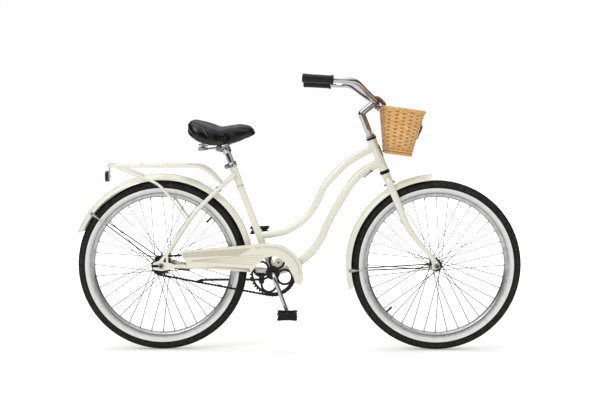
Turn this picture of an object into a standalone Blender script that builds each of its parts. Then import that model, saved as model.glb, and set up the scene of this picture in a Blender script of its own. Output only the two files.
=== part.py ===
"""Single-speed step-through cruiser bicycle with basket, rack, mudguards and coaster brake.

Metres, +Z up, +X forwards, +Y to the rider's left; the drive side faces -Y.
The origin is on the ground, midway between the two axles, in the middle of the bicycle.
"""
import bpy
import bmesh
import math
import numpy as np
from mathutils import Vector

for old in list(bpy.data.objects):
    bpy.data.objects.remove(old, do_unlink=True)

# Clearances
GAP = 0.0003            # between pieces that touch or seat on each other
RUN_GAP = 0.0005        # between pieces that turn against each other

# Wheels
WHEELBASE = 1.076
TYRE_R = 0.3335
TYRE_W = 0.054
TYRE_WALL = 0.0035
BEAD_R = TYRE_R - TYRE_W  # rim's bead seat: the tyre is as high as it is wide
BEAD_HALF = 0.0148      # half width of the tyre's foot
RIM_FLANGE_H = 0.0055
RIM_FLANGE_T = 0.0015
RIM_DEPTH = 0.0125      # bead seat to nipple face
RIM_FACE_HALF = 0.0090  # half width of the nipple face
WHEEL_STEPS = 30
SPOKES_PER_SIDE = 18
SPOKE_R = 0.0011
SPOKE_CROSS = 3
AXLE_R = 0.0049
NUT_R = 0.0095
NUT_H = 0.0090

# Front wheel and fork
FRONT_FLANGE_R = 0.0225
FRONT_FLANGE_Y = 0.0300
FRONT_BARREL_R = 0.0140
FRONT_DROP_Y = 0.0500   # inner face of the fork tips
FORK_TIP_T = 0.0050
HEAD_ANGLE = math.radians(68.0)
FORK_RAKE = 0.0506
STEERER_R = 0.0127
STEERER_WALL = 0.0015
CROWN_S = 0.3860        # crown centre, measured up the steering axis
BLADE_TOP = (0.0100, 0.0140)
BLADE_END = (0.0080, 0.0095)
BLADE_WALL = 0.0016

# Rear wheel and its drive
REAR_FLANGE_R = 0.0300
REAR_FLANGE_Y = 0.0285
REAR_BARREL_R = 0.0215
HUB_BORE_R = 0.0170
FLANGE_T = 0.0030
REAR_DROP_Y = 0.0550    # inner face of the rear dropouts
DROPOUT_T = 0.0050
CHAIN_PITCH = 0.0127
CHAINRING_TEETH = 44
SPROCKET_TEETH = 18
CHAIN_Y = -0.0440
CHAIN_W = 0.0080
CHAIN_HALF_H = 0.0040
TOOTH_T = 0.0030
TOOTH_H = 0.0030        # tooth tip above the pitch circle
TOOTH_ROOT = 0.0038     # tooth root below the pitch circle
CHAINRING_RIM = 0.0795  # inner radius of the chainring's rim

# Bottom bracket and crank
BB_X = -0.1025
BB_Z = 0.3058
BB_R = 0.0285
BB_WALL = 0.0028
BB_HALF = 0.0340
CRANK_LENGTH = 0.165
CRANK_ANGLE = math.radians(-69.4)
CRANK_R = 0.0085
CRANK_Y = 0.0735        # centre of each arm from the middle plane
PEDAL_W = 0.090
PEDAL_L = 0.080
PEDAL_H = 0.036
SPINDLE_R = 0.0055

# Frame tubes
HEAD_R = 0.0170
HEAD_WALL = 0.0018
HEAD_LOW_S = 0.4222
HEAD_HIGH_S = 0.5520
CUP_R = 0.0215
CUP_H = 0.0080
TOP_TUBE_R = 0.0143
TOP_TUBE_S = 0.5200
DOWN_TUBE_R = 0.0159
DOWN_TUBE_S = 0.4560
TUBE_T = 0.0014
SEAT_ANGLE = math.radians(69.1)
SEAT_TUBE_R = 0.0143
SEAT_TUBE_T = 0.0013
SEAT_TUBE_L = 0.4626
TOP_TUBE_AT = 0.1530    # up the seat tube from the bottom bracket
SEAT_STAY_R = 0.0090
CHAIN_STAY_R = 0.0095
STAY_TOP_X = -0.2560      # where the seat stays meet the seat tube
STAY_END_R = 0.0075
STAY_T = 0.0015
BRIDGE_R = 0.0070

# Mudguards
REAR_FENDER_ROOM = 0.0235   # tyre tread to mudguard crown
FRONT_FENDER_ROOM = 0.0215
REAR_FENDER_R = TYRE_R + REAR_FENDER_ROOM
FRONT_FENDER_R = TYRE_R + FRONT_FENDER_ROOM
FENDER_HALF = 0.0310
FENDER_DROP = 0.0200    # crown to skirt
FENDER_T = 0.0012
REAR_FENDER_ARC = (159.0, 1.0)
FRONT_FENDER_ARC = (93.0, 196.0)
WIRE_R = 0.0024
FENDER_STEPS = (21, 15)  # sections along each mudguard

# Rack
RACK_Z = 0.7250
RACK_HALF = 0.0670
RACK_REAR_X = -WHEELBASE / 2 - 0.2040
RACK_R = 0.0058
RACK_BAR_R = 0.0040
RACK_BARS_X = (RACK_REAR_X + 0.1170, RACK_REAR_X + 0.2185, RACK_REAR_X + 0.3063)
REFLECTOR_W = 0.060
REFLECTOR_H = 0.040

# Chain guard
GUARD_Y = -0.0625       # outer face
GUARD_T = 0.0014
GUARD_BEND_X = -0.1940    # behind it the guard stretches with the wheelbase
GUARD_LIP = 0.0200

# Handlebar, stem and grips
BAR_R = 0.0111
BAR_T = 0.0018
STEM_R = 0.0108
STEM_TOP_S = 0.6620
STEM_LOW_S = 0.4600
CLAMP_X = WHEELBASE / 2 - 0.2391
CLAMP_Z = 0.9752
CLAMP_R = 0.0170
CLAMP_HALF = 0.0210
GRIP_R = 0.0160
GRIP_END = (CLAMP_X - 0.2839, 0.3300, 1.0560)

# Basket
BASKET_TILT = math.radians(7.6)
BASKET_TOP = (CLAMP_X + 0.0186, 0.9590)  # top of the back, x and z
BASKET_HEIGHT = 0.180
BASKET_TOP_DEPTH = 0.172
BASKET_LOW_DEPTH = 0.102
BASKET_TOP_HALF = 0.150
BASKET_LOW_HALF = 0.115
BASKET_LEAN = 0.040                # how far the back leans in at the floor
BASKET_WALL = 0.0060
BASKET_RIM = 0.0040
BASKET_RIM_H = 0.0140
STRAP_Y = 0.0460
STRAP_W = 0.0180
STRAP_T = 0.0016

# Saddle and seat post
POST_R = 0.0127
POST_T = 0.0014
POST_TOP = 0.5270       # up the seat tube's axis from the bottom bracket
POST_LOW = 0.3300
SADDLE_NOSE_X = -0.1730
SADDLE_HALF = 0.1130
SADDLE_HINGE_X = -0.2000
SPRING_R = 0.0125       # coil centreline radius
SPRING_WIRE = 0.0019
SPRING_TURNS = 4
SPRING_X = -0.3760
SPRING_Y = 0.0520
HINGE_PIN_R = 0.0050
RAIL_Z = 0.7815
PAD_ROOF_Z = 0.8440
RAIL_R = 0.0035
RAIL_HALF = 0.0220

# Kickstand
STAND_PIVOT = (-0.1500, 0.0520, 0.2680)
STAND_SPLAY = math.radians(15.0)
STAND_R = 0.0060

REAR_HUB = Vector((-WHEELBASE / 2, 0, TYRE_R))
FRONT_HUB = Vector((WHEELBASE / 2, 0, TYRE_R))
BB = Vector((BB_X, 0, BB_Z))
STEER_UP = Vector((-math.cos(HEAD_ANGLE), 0, math.sin(HEAD_ANGLE)))
STEER_FWD = Vector((math.sin(HEAD_ANGLE), 0, math.cos(HEAD_ANGLE)))
STEER_FOOT = FRONT_HUB - FORK_RAKE * STEER_FWD
SEAT_UP = Vector((-math.cos(SEAT_ANGLE), 0, math.sin(SEAT_ANGLE)))
RING_PITCH_R = CHAIN_PITCH / (2 * math.sin(math.pi / CHAINRING_TEETH))
SPROCKET_PITCH_R = CHAIN_PITCH / (2 * math.sin(math.pi / SPROCKET_TEETH))
SIDE = Vector((0, 1, 0))


def steer(s, forward=0.0, y=0.0):
    """Point s metres up the steering axis from the front axle's foot, moved forwards and sideways."""
    return STEER_FOOT + s * STEER_UP + forward * STEER_FWD + Vector((0, y, 0))


def drawn(points, fixed, end):
    """Points whose x keeps its share of the way from a fixed place to one that moves with the wheelbase."""
    grow = math.copysign((WHEELBASE - 1.076) / 2, end - fixed)
    return tuple((p[0] + grow * min(max((p[0] - fixed) / (end - fixed), 0.0), 1.0), *p[1:]) for p in points)


def seat(s, forward=0.0, y=0.0):
    """Point s metres up the seat tube's axis from the bottom bracket."""
    ahead = Vector((SEAT_UP.z, 0, -SEAT_UP.x))
    return BB + s * SEAT_UP + forward * ahead + Vector((0, y, 0))


BODIES = {
    "frame": (Vector((0, 0, 0)), None),
    "fork": (steer(HEAD_LOW_S), "frame"),
    "front_wheel": (FRONT_HUB, "fork"),
    "rear_wheel": (REAR_HUB, "frame"),
    "driver": (REAR_HUB, "frame"),
    "crank": (BB, "frame"),
    "kickstand": (Vector(STAND_PIVOT), "frame"),
    "seat_post": (seat(SEAT_TUBE_L), "frame"),
    "saddle": (Vector((SADDLE_HINGE_X, 0, PAD_ROOF_Z - GAP - HINGE_PIN_R)), "seat_post"),
}
EMPTIES = {}


def body_empty(name):
    """Empty on the joint of a moving body; the body's pieces are its children."""
    if name not in EMPTIES:
        place, parent = BODIES[name]
        empty = bpy.data.objects.new("at_" + name, None)
        bpy.context.collection.objects.link(empty)
        empty.location = place
        if parent:
            empty.parent = body_empty(parent)
            empty.location = place - BODIES[parent][0]
        EMPTIES[name] = empty
    return EMPTIES[name]


def srgb(value):
    """Linear colour of a hex value."""
    parts = [int(value[i:i + 2], 16) / 255 for i in (0, 2, 4)]
    return [c / 12.92 if c <= 0.04045 else ((c + 0.055) / 1.055) ** 2.4 for c in parts] + [1.0]


FINISHES = {
    "cream_paint": ("EFECD2", 0.25, 0.0),
    "chrome": ("C9CBCC", 0.12, 1.0),
    "black_steel": ("1B1B1C", 0.45, 0.6),
    "spoke_steel": ("B4B6B8", 0.25, 1.0),
    "alloy": ("B9BCBE", 0.35, 1.0),
    "tyre_rubber": ("1A1A1A", 0.80, 0.0),
    "soft_rubber": ("161616", 0.65, 0.0),
    "black_vinyl": ("17181A", 0.42, 0.0),
    "black_plastic": ("1C1C1D", 0.55, 0.0),
    "wicker": ("D9A566", 0.70, 0.0),
    "leather": ("7A3B22", 0.55, 0.0),
    "red_lens": ("A31218", 0.15, 0.0),
    "badge_metal": ("6E6A60", 0.35, 0.8),
}


def finish(name):
    """Principled material of a named finish."""
    if name not in bpy.data.materials:
        colour, rough, metal = FINISHES[name]
        made = bpy.data.materials.new(name)
        made.use_nodes = True
        shader = made.node_tree.nodes["Principled BSDF"]
        shader.inputs["Base Color"].default_value = srgb(colour)
        shader.inputs["Roughness"].default_value = rough
        shader.inputs["Metallic"].default_value = metal
    return bpy.data.materials[name]


def outward(shape, base):
    """The closed shape about a new base, with doubled points merged and every face pointing out."""
    points, polys = shape
    bm = bmesh.new()
    corners = [bm.verts.new(Vector(p) - base) for p in points]
    for poly in polys:
        bm.faces.new([corners[i] for i in poly])
    bmesh.ops.remove_doubles(bm, verts=bm.verts, dist=0.000002)
    bmesh.ops.dissolve_degenerate(bm, edges=bm.edges, dist=0.000001)
    bmesh.ops.recalc_face_normals(bm, faces=bm.faces)
    if bm.calc_volume(signed=True) < 0:
        bmesh.ops.reverse_faces(bm, faces=bm.faces)
    bm.verts.index_update()
    found = [v.co.copy() for v in bm.verts], [[v.index for v in f.verts] for f in bm.faces]
    bm.free()
    return found


def joined(shapes, base):
    """One list of vertices and faces from several shapes."""
    verts, faces = [], []
    for shape in shapes:
        points, polys = outward(shape, base)
        start = len(verts)
        verts += points
        faces += [[start + i for i in poly] for poly in polys]
    return verts, faces


def piece(name, shapes, colour, body, cuts=(), smooth=30):
    """Named object of one or more closed shapes, with EXACT Boolean cuts, on its body's empty."""
    holder = body_empty(body)
    verts, faces = joined(shapes, BODIES[body][0])
    mesh = bpy.data.meshes.new(name)
    mesh.from_pydata(verts, [], faces)
    mesh.shade_smooth()
    mesh.set_sharp_from_angle(angle=math.radians(smooth))
    made = bpy.data.objects.new(name, mesh)
    bpy.context.collection.objects.link(made)
    made.parent = holder
    if colour:
        mesh.materials.append(finish(colour))
    for number, (kind, cutter) in enumerate(cuts):
        tool = piece(f"{name}_cut{number}", cutter, None, body)
        tool.hide_render = True
        tool.display_type = "WIRE"
        change = made.modifiers.new(f"cut{number}", "BOOLEAN")
        change.operation = kind
        change.solver = "EXACT"
        change.object = tool
    return made


def smooth_path(points, count):
    """Even points along a Catmull-Rom curve through the given points."""
    p = np.array([tuple(q) for q in points], float)
    p = np.vstack([2 * p[0] - p[1], p, 2 * p[-1] - p[-2]])
    t = np.linspace(0, 1, 24, endpoint=False)[:, None]
    runs = []
    for a, b, c, d in zip(p[:-3], p[1:-2], p[2:-1], p[3:]):
        runs.append(0.5 * (2 * b + (c - a) * t + (2 * a - 5 * b + 4 * c - d) * t ** 2
                           + (3 * b - a - 3 * c + d) * t ** 3))
    line = np.vstack(runs + [p[-2:-1]])
    way = np.concatenate([[0], np.cumsum(np.linalg.norm(np.diff(line, axis=0), axis=1))])
    even = np.linspace(0, way[-1], count)
    return [Vector([np.interp(e, way, line[:, k]) for k in range(3)]) for e in even]


def tube(path, radii, sides=12, wall=None, up=SIDE, turn=0.5):
    """Round or oval tube along a path; radii are one pair (across, along up) or one for each end."""
    path = [Vector(p) for p in path]
    last = len(path) - 1
    first_r, last_r = radii if isinstance(radii[0], tuple) else (radii, radii)
    rings, bores = [], []
    for i, at in enumerate(path):
        along = (path[min(i + 1, last)] - path[max(i - 1, 0)]).normalized()
        v = (up - up.dot(along) * along).normalized()
        u = v.cross(along)
        share = i / last
        ru = first_r[0] * (1 - share) + last_r[0] * share
        rv = first_r[1] * (1 - share) + last_r[1] * share
        for store, less in ((rings, 0.0), (bores, wall or 0.0)):
            store.append([at + (ru - less) * math.sin(a) * u + (rv - less) * math.cos(a) * v
                          for a in [2 * math.pi * (k + turn) / sides for k in range(sides)]])
    verts = [p for ring in rings for p in ring]
    faces = skin(len(path), sides, 0)
    if wall is None:
        return verts, faces + [tuple(range(sides)), tuple(last * sides + k for k in range(sides))]
    start = len(verts)
    verts += [p for ring in bores for p in ring]
    faces += skin(len(path), sides, start)
    for row in (0, last):
        for k in range(sides):
            n = (k + 1) % sides
            faces.append((row * sides + k, row * sides + n, start + row * sides + n, start + row * sides + k))
    return verts, faces


def skin(rows, sides, start, closed=False):
    """Quads between the rings of a grid whose rows close on themselves."""
    faces = []
    for i in range(rows if closed else rows - 1):
        j = (i + 1) % rows
        for k in range(sides):
            n = (k + 1) % sides
            faces.append((start + i * sides + k, start + i * sides + n, start + j * sides + n, start + j * sides + k))
    return faces


def rod(a, b, radius, sides=8, wall=None, turn=0.5):
    """Straight round bar or pipe between two points."""
    a, b = Vector(a), Vector(b)
    along = (b - a).normalized()
    up = SIDE if abs(along.y) < 0.9 else Vector((0, 0, 1))
    return tube([a, b], (radius, radius), sides, wall, up, turn)


def turned(profile, centre, axis=SIDE, steps=12, start=0.0):
    """Closed profile of (radius, height) points turned about an axis through the centre."""
    axis = Vector(axis).normalized()
    u = Vector((1, 0, 0)) if abs(axis.x) < 0.9 else Vector((0, 1, 0))
    u = (u - u.dot(axis) * axis).normalized()
    v = axis.cross(u)
    verts = []
    for k in range(steps):
        a = start + 2 * math.pi * k / steps
        out = math.cos(a) * u + math.sin(a) * v
        verts += [Vector(centre) + r * out + h * axis for r, h in profile]
    return verts, skin(steps, len(profile), 0, closed=True)


def bush(inner, outer, low, high, centre, axis=SIDE, steps=12, start=0.0):
    """Plain ring with a bore."""
    return turned([(outer, low), (outer, high), (inner, high), (inner, low)], centre, axis, steps, start)


def prism(outline, low, high, at=None):
    """Outline of (x, z) points carried from y = low to y = high, or placed by a function of (x, z, y)."""
    at = at or (lambda x, z, y: Vector((x, y, z)))
    count = len(outline)
    verts = [at(x, z, low) for x, z in outline] + [at(x, z, high) for x, z in outline]
    sides = [(k, (k + 1) % count, count + (k + 1) % count, count + k) for k in range(count)]
    return verts, sides + [tuple(range(count)), tuple(range(count, 2 * count))]


def block(low, high):
    """Box between two corners."""
    (x0, y0, z0), (x1, y1, z1) = low, high
    return prism([(x0, z0), (x1, z0), (x1, z1), (x0, z1)], y0, y1)


def arc(cx, cz, radius, start, stop, count):
    """Points (x, z) on an arc, in degrees from +X towards +Z."""
    return [(cx + radius * math.cos(math.radians(a)), cz + radius * math.sin(math.radians(a)))
            for a in np.linspace(start, stop, count)]


def swept_sheet(section, centre, start, stop, count):
    """Closed section of (radius, y) points carried along an arc about a wheel's axle."""
    verts = []
    for a in np.radians(np.linspace(start, stop, count)):
        verts += [centre + Vector((r * math.cos(a), y, r * math.sin(a))) for r, y in section]
    width = len(section)
    ends = [tuple(range(width)), tuple((count - 1) * width + k for k in range(width))]
    return verts, skin(count, width, 0) + ends


def mirrored(shape):
    """The same shape on the other side of the middle plane."""
    verts, faces = shape
    return [Vector((v[0], -v[1], v[2])) for v in map(tuple, verts)], [tuple(reversed(f)) for f in faces]


def both(shape):
    """A shape and its mirror image."""
    return [shape, mirrored(shape)]


def hex_nut(centre, axis, radius, height):
    """Six-sided nut standing on a point, its height along the axis."""
    return rod(Vector(centre), Vector(centre) + Vector(axis).normalized() * height, radius, 6)


def loop_of(half):
    """Closed section from its right half, listed from the outside inwards."""
    return half + [(r, -y) for r, y in reversed(half)]


def facet_radius(radius, sweep, count, angle):
    """Distance from the hub to the flat facets of a mudguard at an angle in degrees."""
    step = abs(sweep[1] - sweep[0]) / (count - 1)
    off = (angle - min(sweep)) % step - step / 2
    return radius * math.cos(math.radians(step / 2)) / math.cos(math.radians(off))


RIM_INNER_HALF = BEAD_HALF + 3 * GAP
RIM_OUTER_HALF = RIM_INNER_HALF + RIM_FLANGE_T
RIM_TOP_R = BEAD_R + RIM_FLANGE_H
NIPPLE_R = BEAD_R - RIM_DEPTH
TYRE_MID_R = (TYRE_R + BEAD_R) / 2
TYRE_HALF = TYRE_W / 2
CROWN_IN_R = TYRE_R - TYRE_WALL - 0.001
VALVE_ANGLE = math.radians(224.0)
VALVE_R = 0.0038
VALVE_LENGTH = 0.036


def valve_rod(centre, low, high, radius, angle):
    """Radial bar of the tyre valve or of its hole."""
    out = Vector((math.cos(angle), 0, math.sin(angle)))
    return rod(centre + low * out, centre + high * out, radius, 6)


def wheel(end, centre, hub_profile, flange_r, flange_y, body, valve_angle):
    """Tyre, rim with its valve, spokes and hub shell of one wheel."""
    tyre = [(TYRE_R, 0.22 * TYRE_HALF), (TYRE_R - 0.0065, 0.70 * TYRE_HALF), (TYRE_MID_R, TYRE_HALF),
            (RIM_TOP_R + 0.0015, BEAD_HALF + 2 * GAP), (BEAD_R - 0.0005, BEAD_HALF - TYRE_WALL),
            (TYRE_MID_R, TYRE_HALF - TYRE_WALL), (CROWN_IN_R, 0.0100)]
    rim = [(BEAD_R - 0.0020, 0.0080), (BEAD_R, RIM_INNER_HALF), (RIM_TOP_R, RIM_OUTER_HALF - RIM_FLANGE_T / 2),
           (BEAD_R - 0.0050, RIM_OUTER_HALF), (NIPPLE_R, RIM_FACE_HALF)]
    valve = valve_rod(centre, BEAD_R + 0.0055 - VALVE_LENGTH, BEAD_R + 0.0055, VALVE_R, valve_angle)
    piece(end + "_tyre", [turned(loop_of(tyre), centre, steps=WHEEL_STEPS)], "tyre_rubber", body)
    piece(end + "_rim", [turned(loop_of(rim), centre, steps=WHEEL_STEPS)], "alloy", body, [("UNION", [valve])])
    piece(end + "_hub_and_spokes", [turned(hub_profile, centre, steps=12)], "spoke_steel", body,
          [("UNION", spoke_set(centre, flange_r, flange_y))])


def spoke_set(centre, flange_r, flange_y):
    """Straight spokes, laced over a fixed number of crossings on each flange."""
    pitch = 2 * math.pi / SPOKES_PER_SIDE
    inner_r = flange_r - 0.0025
    outer_r = NIPPLE_R * math.cos(math.pi / WHEEL_STEPS) - GAP
    spokes = []
    for side, shift in ((-1, 0.0), (1, 0.5)):
        for k in range(SPOKES_PER_SIDE):
            way = 1 if k % 2 else -1
            hub_a = (k + shift) * pitch
            rim_a = hub_a + way * SPOKE_CROSS * pitch
            low = Vector((inner_r * math.cos(hub_a), side * (flange_y + way * 0.0020), inner_r * math.sin(hub_a)))
            high = Vector((outer_r * math.cos(rim_a), side * 0.0035, outer_r * math.sin(rim_a)))
            spokes.append(rod(centre + low, centre + high, SPOKE_R, 3))
    return spokes


def hub_shell(bore, barrel, end_r, end_y, flange_r, flange_y):
    """Hub shell with a bore and two spoke flanges."""
    out, back = flange_y + FLANGE_T / 2, flange_y - FLANGE_T / 2
    return loop_of([(bore, end_y), (end_r, end_y), (end_r, out + 0.0015), (flange_r, out), (flange_r, back),
                    (barrel, back - 0.0015)])


AXLE_BORE = AXLE_R + RUN_GAP
wheel("front", FRONT_HUB, hub_shell(AXLE_BORE, FRONT_BARREL_R, 0.0125, 0.0385, FRONT_FLANGE_R, FRONT_FLANGE_Y),
      FRONT_FLANGE_R, FRONT_FLANGE_Y, "front_wheel", VALVE_ANGLE)
wheel("rear", REAR_HUB, hub_shell(HUB_BORE_R, REAR_BARREL_R, 0.0240, 0.0340, REAR_FLANGE_R, REAR_FLANGE_Y),
      REAR_FLANGE_R, REAR_FLANGE_Y, "rear_wheel", VALVE_ANGLE - math.pi)


def toothed(centre, teeth, pitch_r):
    """Sprocket outline: a valley and a tip for each tooth."""
    points = []
    for k in range(teeth):
        for shift, r in ((0.0, pitch_r - TOOTH_ROOT), (0.5, pitch_r + TOOTH_H)):
            a = 2 * math.pi * (k + shift) / teeth
            points.append((centre.x + r * math.cos(a), centre.z + r * math.sin(a)))
    return points


def disc(centre, radius, y, thick, count):
    """Flat round plate across Y."""
    return prism(arc(centre.x, centre.z, radius, 0, 360 - 360 / count, count), y - thick / 2, y + thick / 2)


DRIVER_R = 0.0145
LOOP_AT = 0.0485
LOOP_R = 0.0318
LOOP_HOLE = 0.0238
LOOP_ANGLE = math.radians(71.0)
SPIDER_R = 0.0240
SPIDER_T = TOOTH_T + 2 * GAP
CRANK_BORE = CRANK_R + 2 * GAP


def chainring():
    """Chainring with four round loops between its centre and its rim."""
    loops = []
    holes = []
    for k in range(4):
        a = LOOP_ANGLE + k * math.pi / 2
        at = BB + LOOP_AT * Vector((math.cos(a), 0, math.sin(a)))
        loops.append(disc(at, LOOP_R, CHAIN_Y, SPIDER_T, 14))
        holes.append(disc(at, LOOP_HOLE, CHAIN_Y, 4 * TOOTH_T, 12))
    ring = prism(toothed(BB, CHAINRING_TEETH, RING_PITCH_R), CHAIN_Y - TOOTH_T / 2, CHAIN_Y + TOOTH_T / 2)
    piece("chainring", [ring], "black_steel", "crank",
          [("DIFFERENCE", [disc(BB, CHAINRING_RIM, CHAIN_Y, 4 * TOOTH_T, 28)]), ("UNION", loops),
           ("UNION", [disc(BB, SPIDER_R, CHAIN_Y, SPIDER_T + 2 * GAP, 12)]), ("DIFFERENCE", holes),
           ("DIFFERENCE", [disc(BB, CRANK_BORE, CHAIN_Y, 4 * TOOTH_T, 10)])])


def sprocket():
    """Rear sprocket on its driver, whose inner end runs inside the hub shell."""
    low, high = CHAIN_Y - TOOTH_T / 2, CHAIN_Y + TOOTH_T / 2
    plate = prism(toothed(REAR_HUB, SPROCKET_TEETH, SPROCKET_PITCH_R), low, high)
    run_r = HUB_BORE_R * math.cos(math.pi / 12) - GAP
    driver = turned([(AXLE_BORE, low - 0.003), (DRIVER_R, low - 0.003), (DRIVER_R, high + 0.002),
                     (run_r, high + 0.004), (run_r, high + 0.013), (AXLE_BORE, high + 0.013)], REAR_HUB)
    piece("rear_sprocket", [plate], "black_steel", "driver",
          [("DIFFERENCE", [disc(REAR_HUB, DRIVER_R - 0.001, CHAIN_Y, TOOTH_T * 2, 12)]), ("UNION", [driver])])


def chain_loop(offset):
    """Outline of the chain's run at an offset from its pitch line."""
    away = BB - REAR_HUB
    lean = math.degrees(math.atan2(away.z, away.x))
    open_by = 90 + math.degrees(math.asin((RING_PITCH_R - SPROCKET_PITCH_R) / away.length))
    front = arc(BB.x, BB.z, RING_PITCH_R + offset, lean - open_by, lean + open_by, 24)
    rear = arc(REAR_HUB.x, REAR_HUB.z, SPROCKET_PITCH_R + offset, lean + open_by, lean + 360 - open_by, 11)
    return front + rear


def ring_prism(outer, inner, low, high):
    """Closed band between two outlines of equal count, from y = low to y = high."""
    n = len(outer)
    rows = [[Vector((x, y, z)) for x, z in line] for line, y in
            ((outer, low), (outer, high), (inner, high), (inner, low))]
    return [p for row in rows for p in row], skin(4, n, 0, closed=True)


def chain():
    """Chain as a band whose middle is cut away where the teeth pass."""
    tooth_room = TOOTH_T + 2 * GAP
    grooves = [disc(centre, pitch_r + CHAIN_HALF_H + GAP, CHAIN_Y, tooth_room, count)
               for centre, pitch_r, count in ((BB, RING_PITCH_R, 36), (REAR_HUB, SPROCKET_PITCH_R, 18))]
    band = ring_prism(chain_loop(CHAIN_HALF_H), chain_loop(-CHAIN_HALF_H), CHAIN_Y - CHAIN_W / 2, CHAIN_Y + CHAIN_W / 2)
    piece("chain", [band], "black_steel", "frame", [("DIFFERENCE", grooves)])


chainring()
sprocket()
chain()

CRANK_WAY = Vector((math.cos(CRANK_ANGLE), 0, math.sin(CRANK_ANGLE)))
EYE_R = 0.0125
EYE_HALF = 0.0075
WASHER_T = 0.0030
PEDAL_LOW_Y = CRANK_Y + EYE_HALF + WASHER_T + GAP


def crank():
    """One-piece crank: shaft, two bends, two arms, the pedal eyes and the spindles screwed into them."""
    half = [(CRANK_LENGTH, CRANK_Y), (0.100, CRANK_Y), (0.040, CRANK_Y), (0.018, CRANK_Y - 0.002),
            (0.004, CRANK_Y - 0.014), (0.0, CRANK_Y - 0.026)]
    way = [BB + r * CRANK_WAY - y * SIDE for r, y in half] + [BB - r * CRANK_WAY + y * SIDE for r, y in reversed(half)]
    eyes, spindles = [], []
    for side in (-1, 1):
        centre = BB - side * CRANK_LENGTH * CRANK_WAY
        low, high = (centre + side * (CRANK_Y + h) * SIDE for h in (-EYE_HALF, EYE_HALF))
        eyes.append(rod(low, high, EYE_R, 12))
        marks = [(0.0, -0.006), (EYE_R - 0.004, -0.006), (EYE_R - 0.004, WASHER_T), (SPINDLE_R, WASHER_T),
                 (SPINDLE_R, WASHER_T + PEDAL_W + GAP * 2), (0.0, WASHER_T + PEDAL_W + GAP * 2)]
        spindles.append(turned([(r, side * h) for r, h in marks], high, steps=8))
    bar = tube(way, (CRANK_R, CRANK_R), 8, up=CRANK_WAY.cross(SIDE))
    piece("crank", [bar], "chrome", "crank", [("UNION", eyes), ("UNION", spindles)])


def pedals():
    """Pedal blocks that turn on the crank's spindles."""
    l, h = PEDAL_L / 2, PEDAL_H / 2
    corner = [(l - 0.006, -h), (l, -h + 0.006), (l - 0.007, -0.004)]
    right_side = corner + [(x, -z) for x, z in reversed(corner)]
    outline = right_side + [(-x, -z) for x, z in right_side]
    for side, name in ((-1, "right"), (1, "left")):
        eye = BB - side * CRANK_LENGTH * CRANK_WAY
        BODIES["pedal_" + name] = (eye + side * PEDAL_LOW_Y * SIDE, "crank")
        low, high = sorted((side * PEDAL_LOW_Y, side * (PEDAL_LOW_Y + PEDAL_W)))
        body = prism([(eye.x + x, eye.z + z) for x, z in outline], low, high)
        slots = [block((eye.x + a, low + PEDAL_RAIL, eye.z - PEDAL_H), (eye.x + b, high - PEDAL_RAIL, eye.z + PEDAL_H))
                 for a, b in (PEDAL_SLOT, (-PEDAL_SLOT[1], -PEDAL_SLOT[0]))]
        bore = rod(eye + (low - 0.01) * SIDE, eye + (high + 0.01) * SIDE, SPINDLE_R + RUN_GAP, 8)
        piece("pedal_" + name, [body], "black_plastic", "pedal_" + name, [("DIFFERENCE", slots), ("DIFFERENCE", [bore])])


PEDAL_RAIL = 0.010
PEDAL_SLOT = (0.0125, 0.0240)
crank()
pedals()


def cross_tube(s, radius, overshoot, sides=16):
    """Solid bar along the steering axis, used to trim what meets the head tube or the steerer."""
    low, high = s
    return rod(steer(low - overshoot), steer(high + overshoot), radius / math.cos(math.pi / sides), sides)


def seat_bar(radius, low, high, sides=16):
    """Solid bar along the seat tube's axis."""
    return rod(seat(low), seat(high), radius / math.cos(math.pi / sides), sides)


TOP_TUBE_ROUTE = drawn(((0.2270, 0.7610), (0.1740, 0.7240), (0.1030, 0.6480), (0.0660, 0.5740), (0.0240, 0.5160),
                  (-0.0390, 0.4730), (-0.0980, 0.4560)), BB_X, 0.2963)
DOWN_TUBE_ROUTE = drawn(((0.2470, 0.6980), (0.1990, 0.6450), (0.1480, 0.5630), (0.1130, 0.4990), (0.0840, 0.4340),
                   (0.0390, 0.3740), (-0.0160, 0.3330), (-0.0560, 0.3160)), BB_X, 0.3203)


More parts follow.
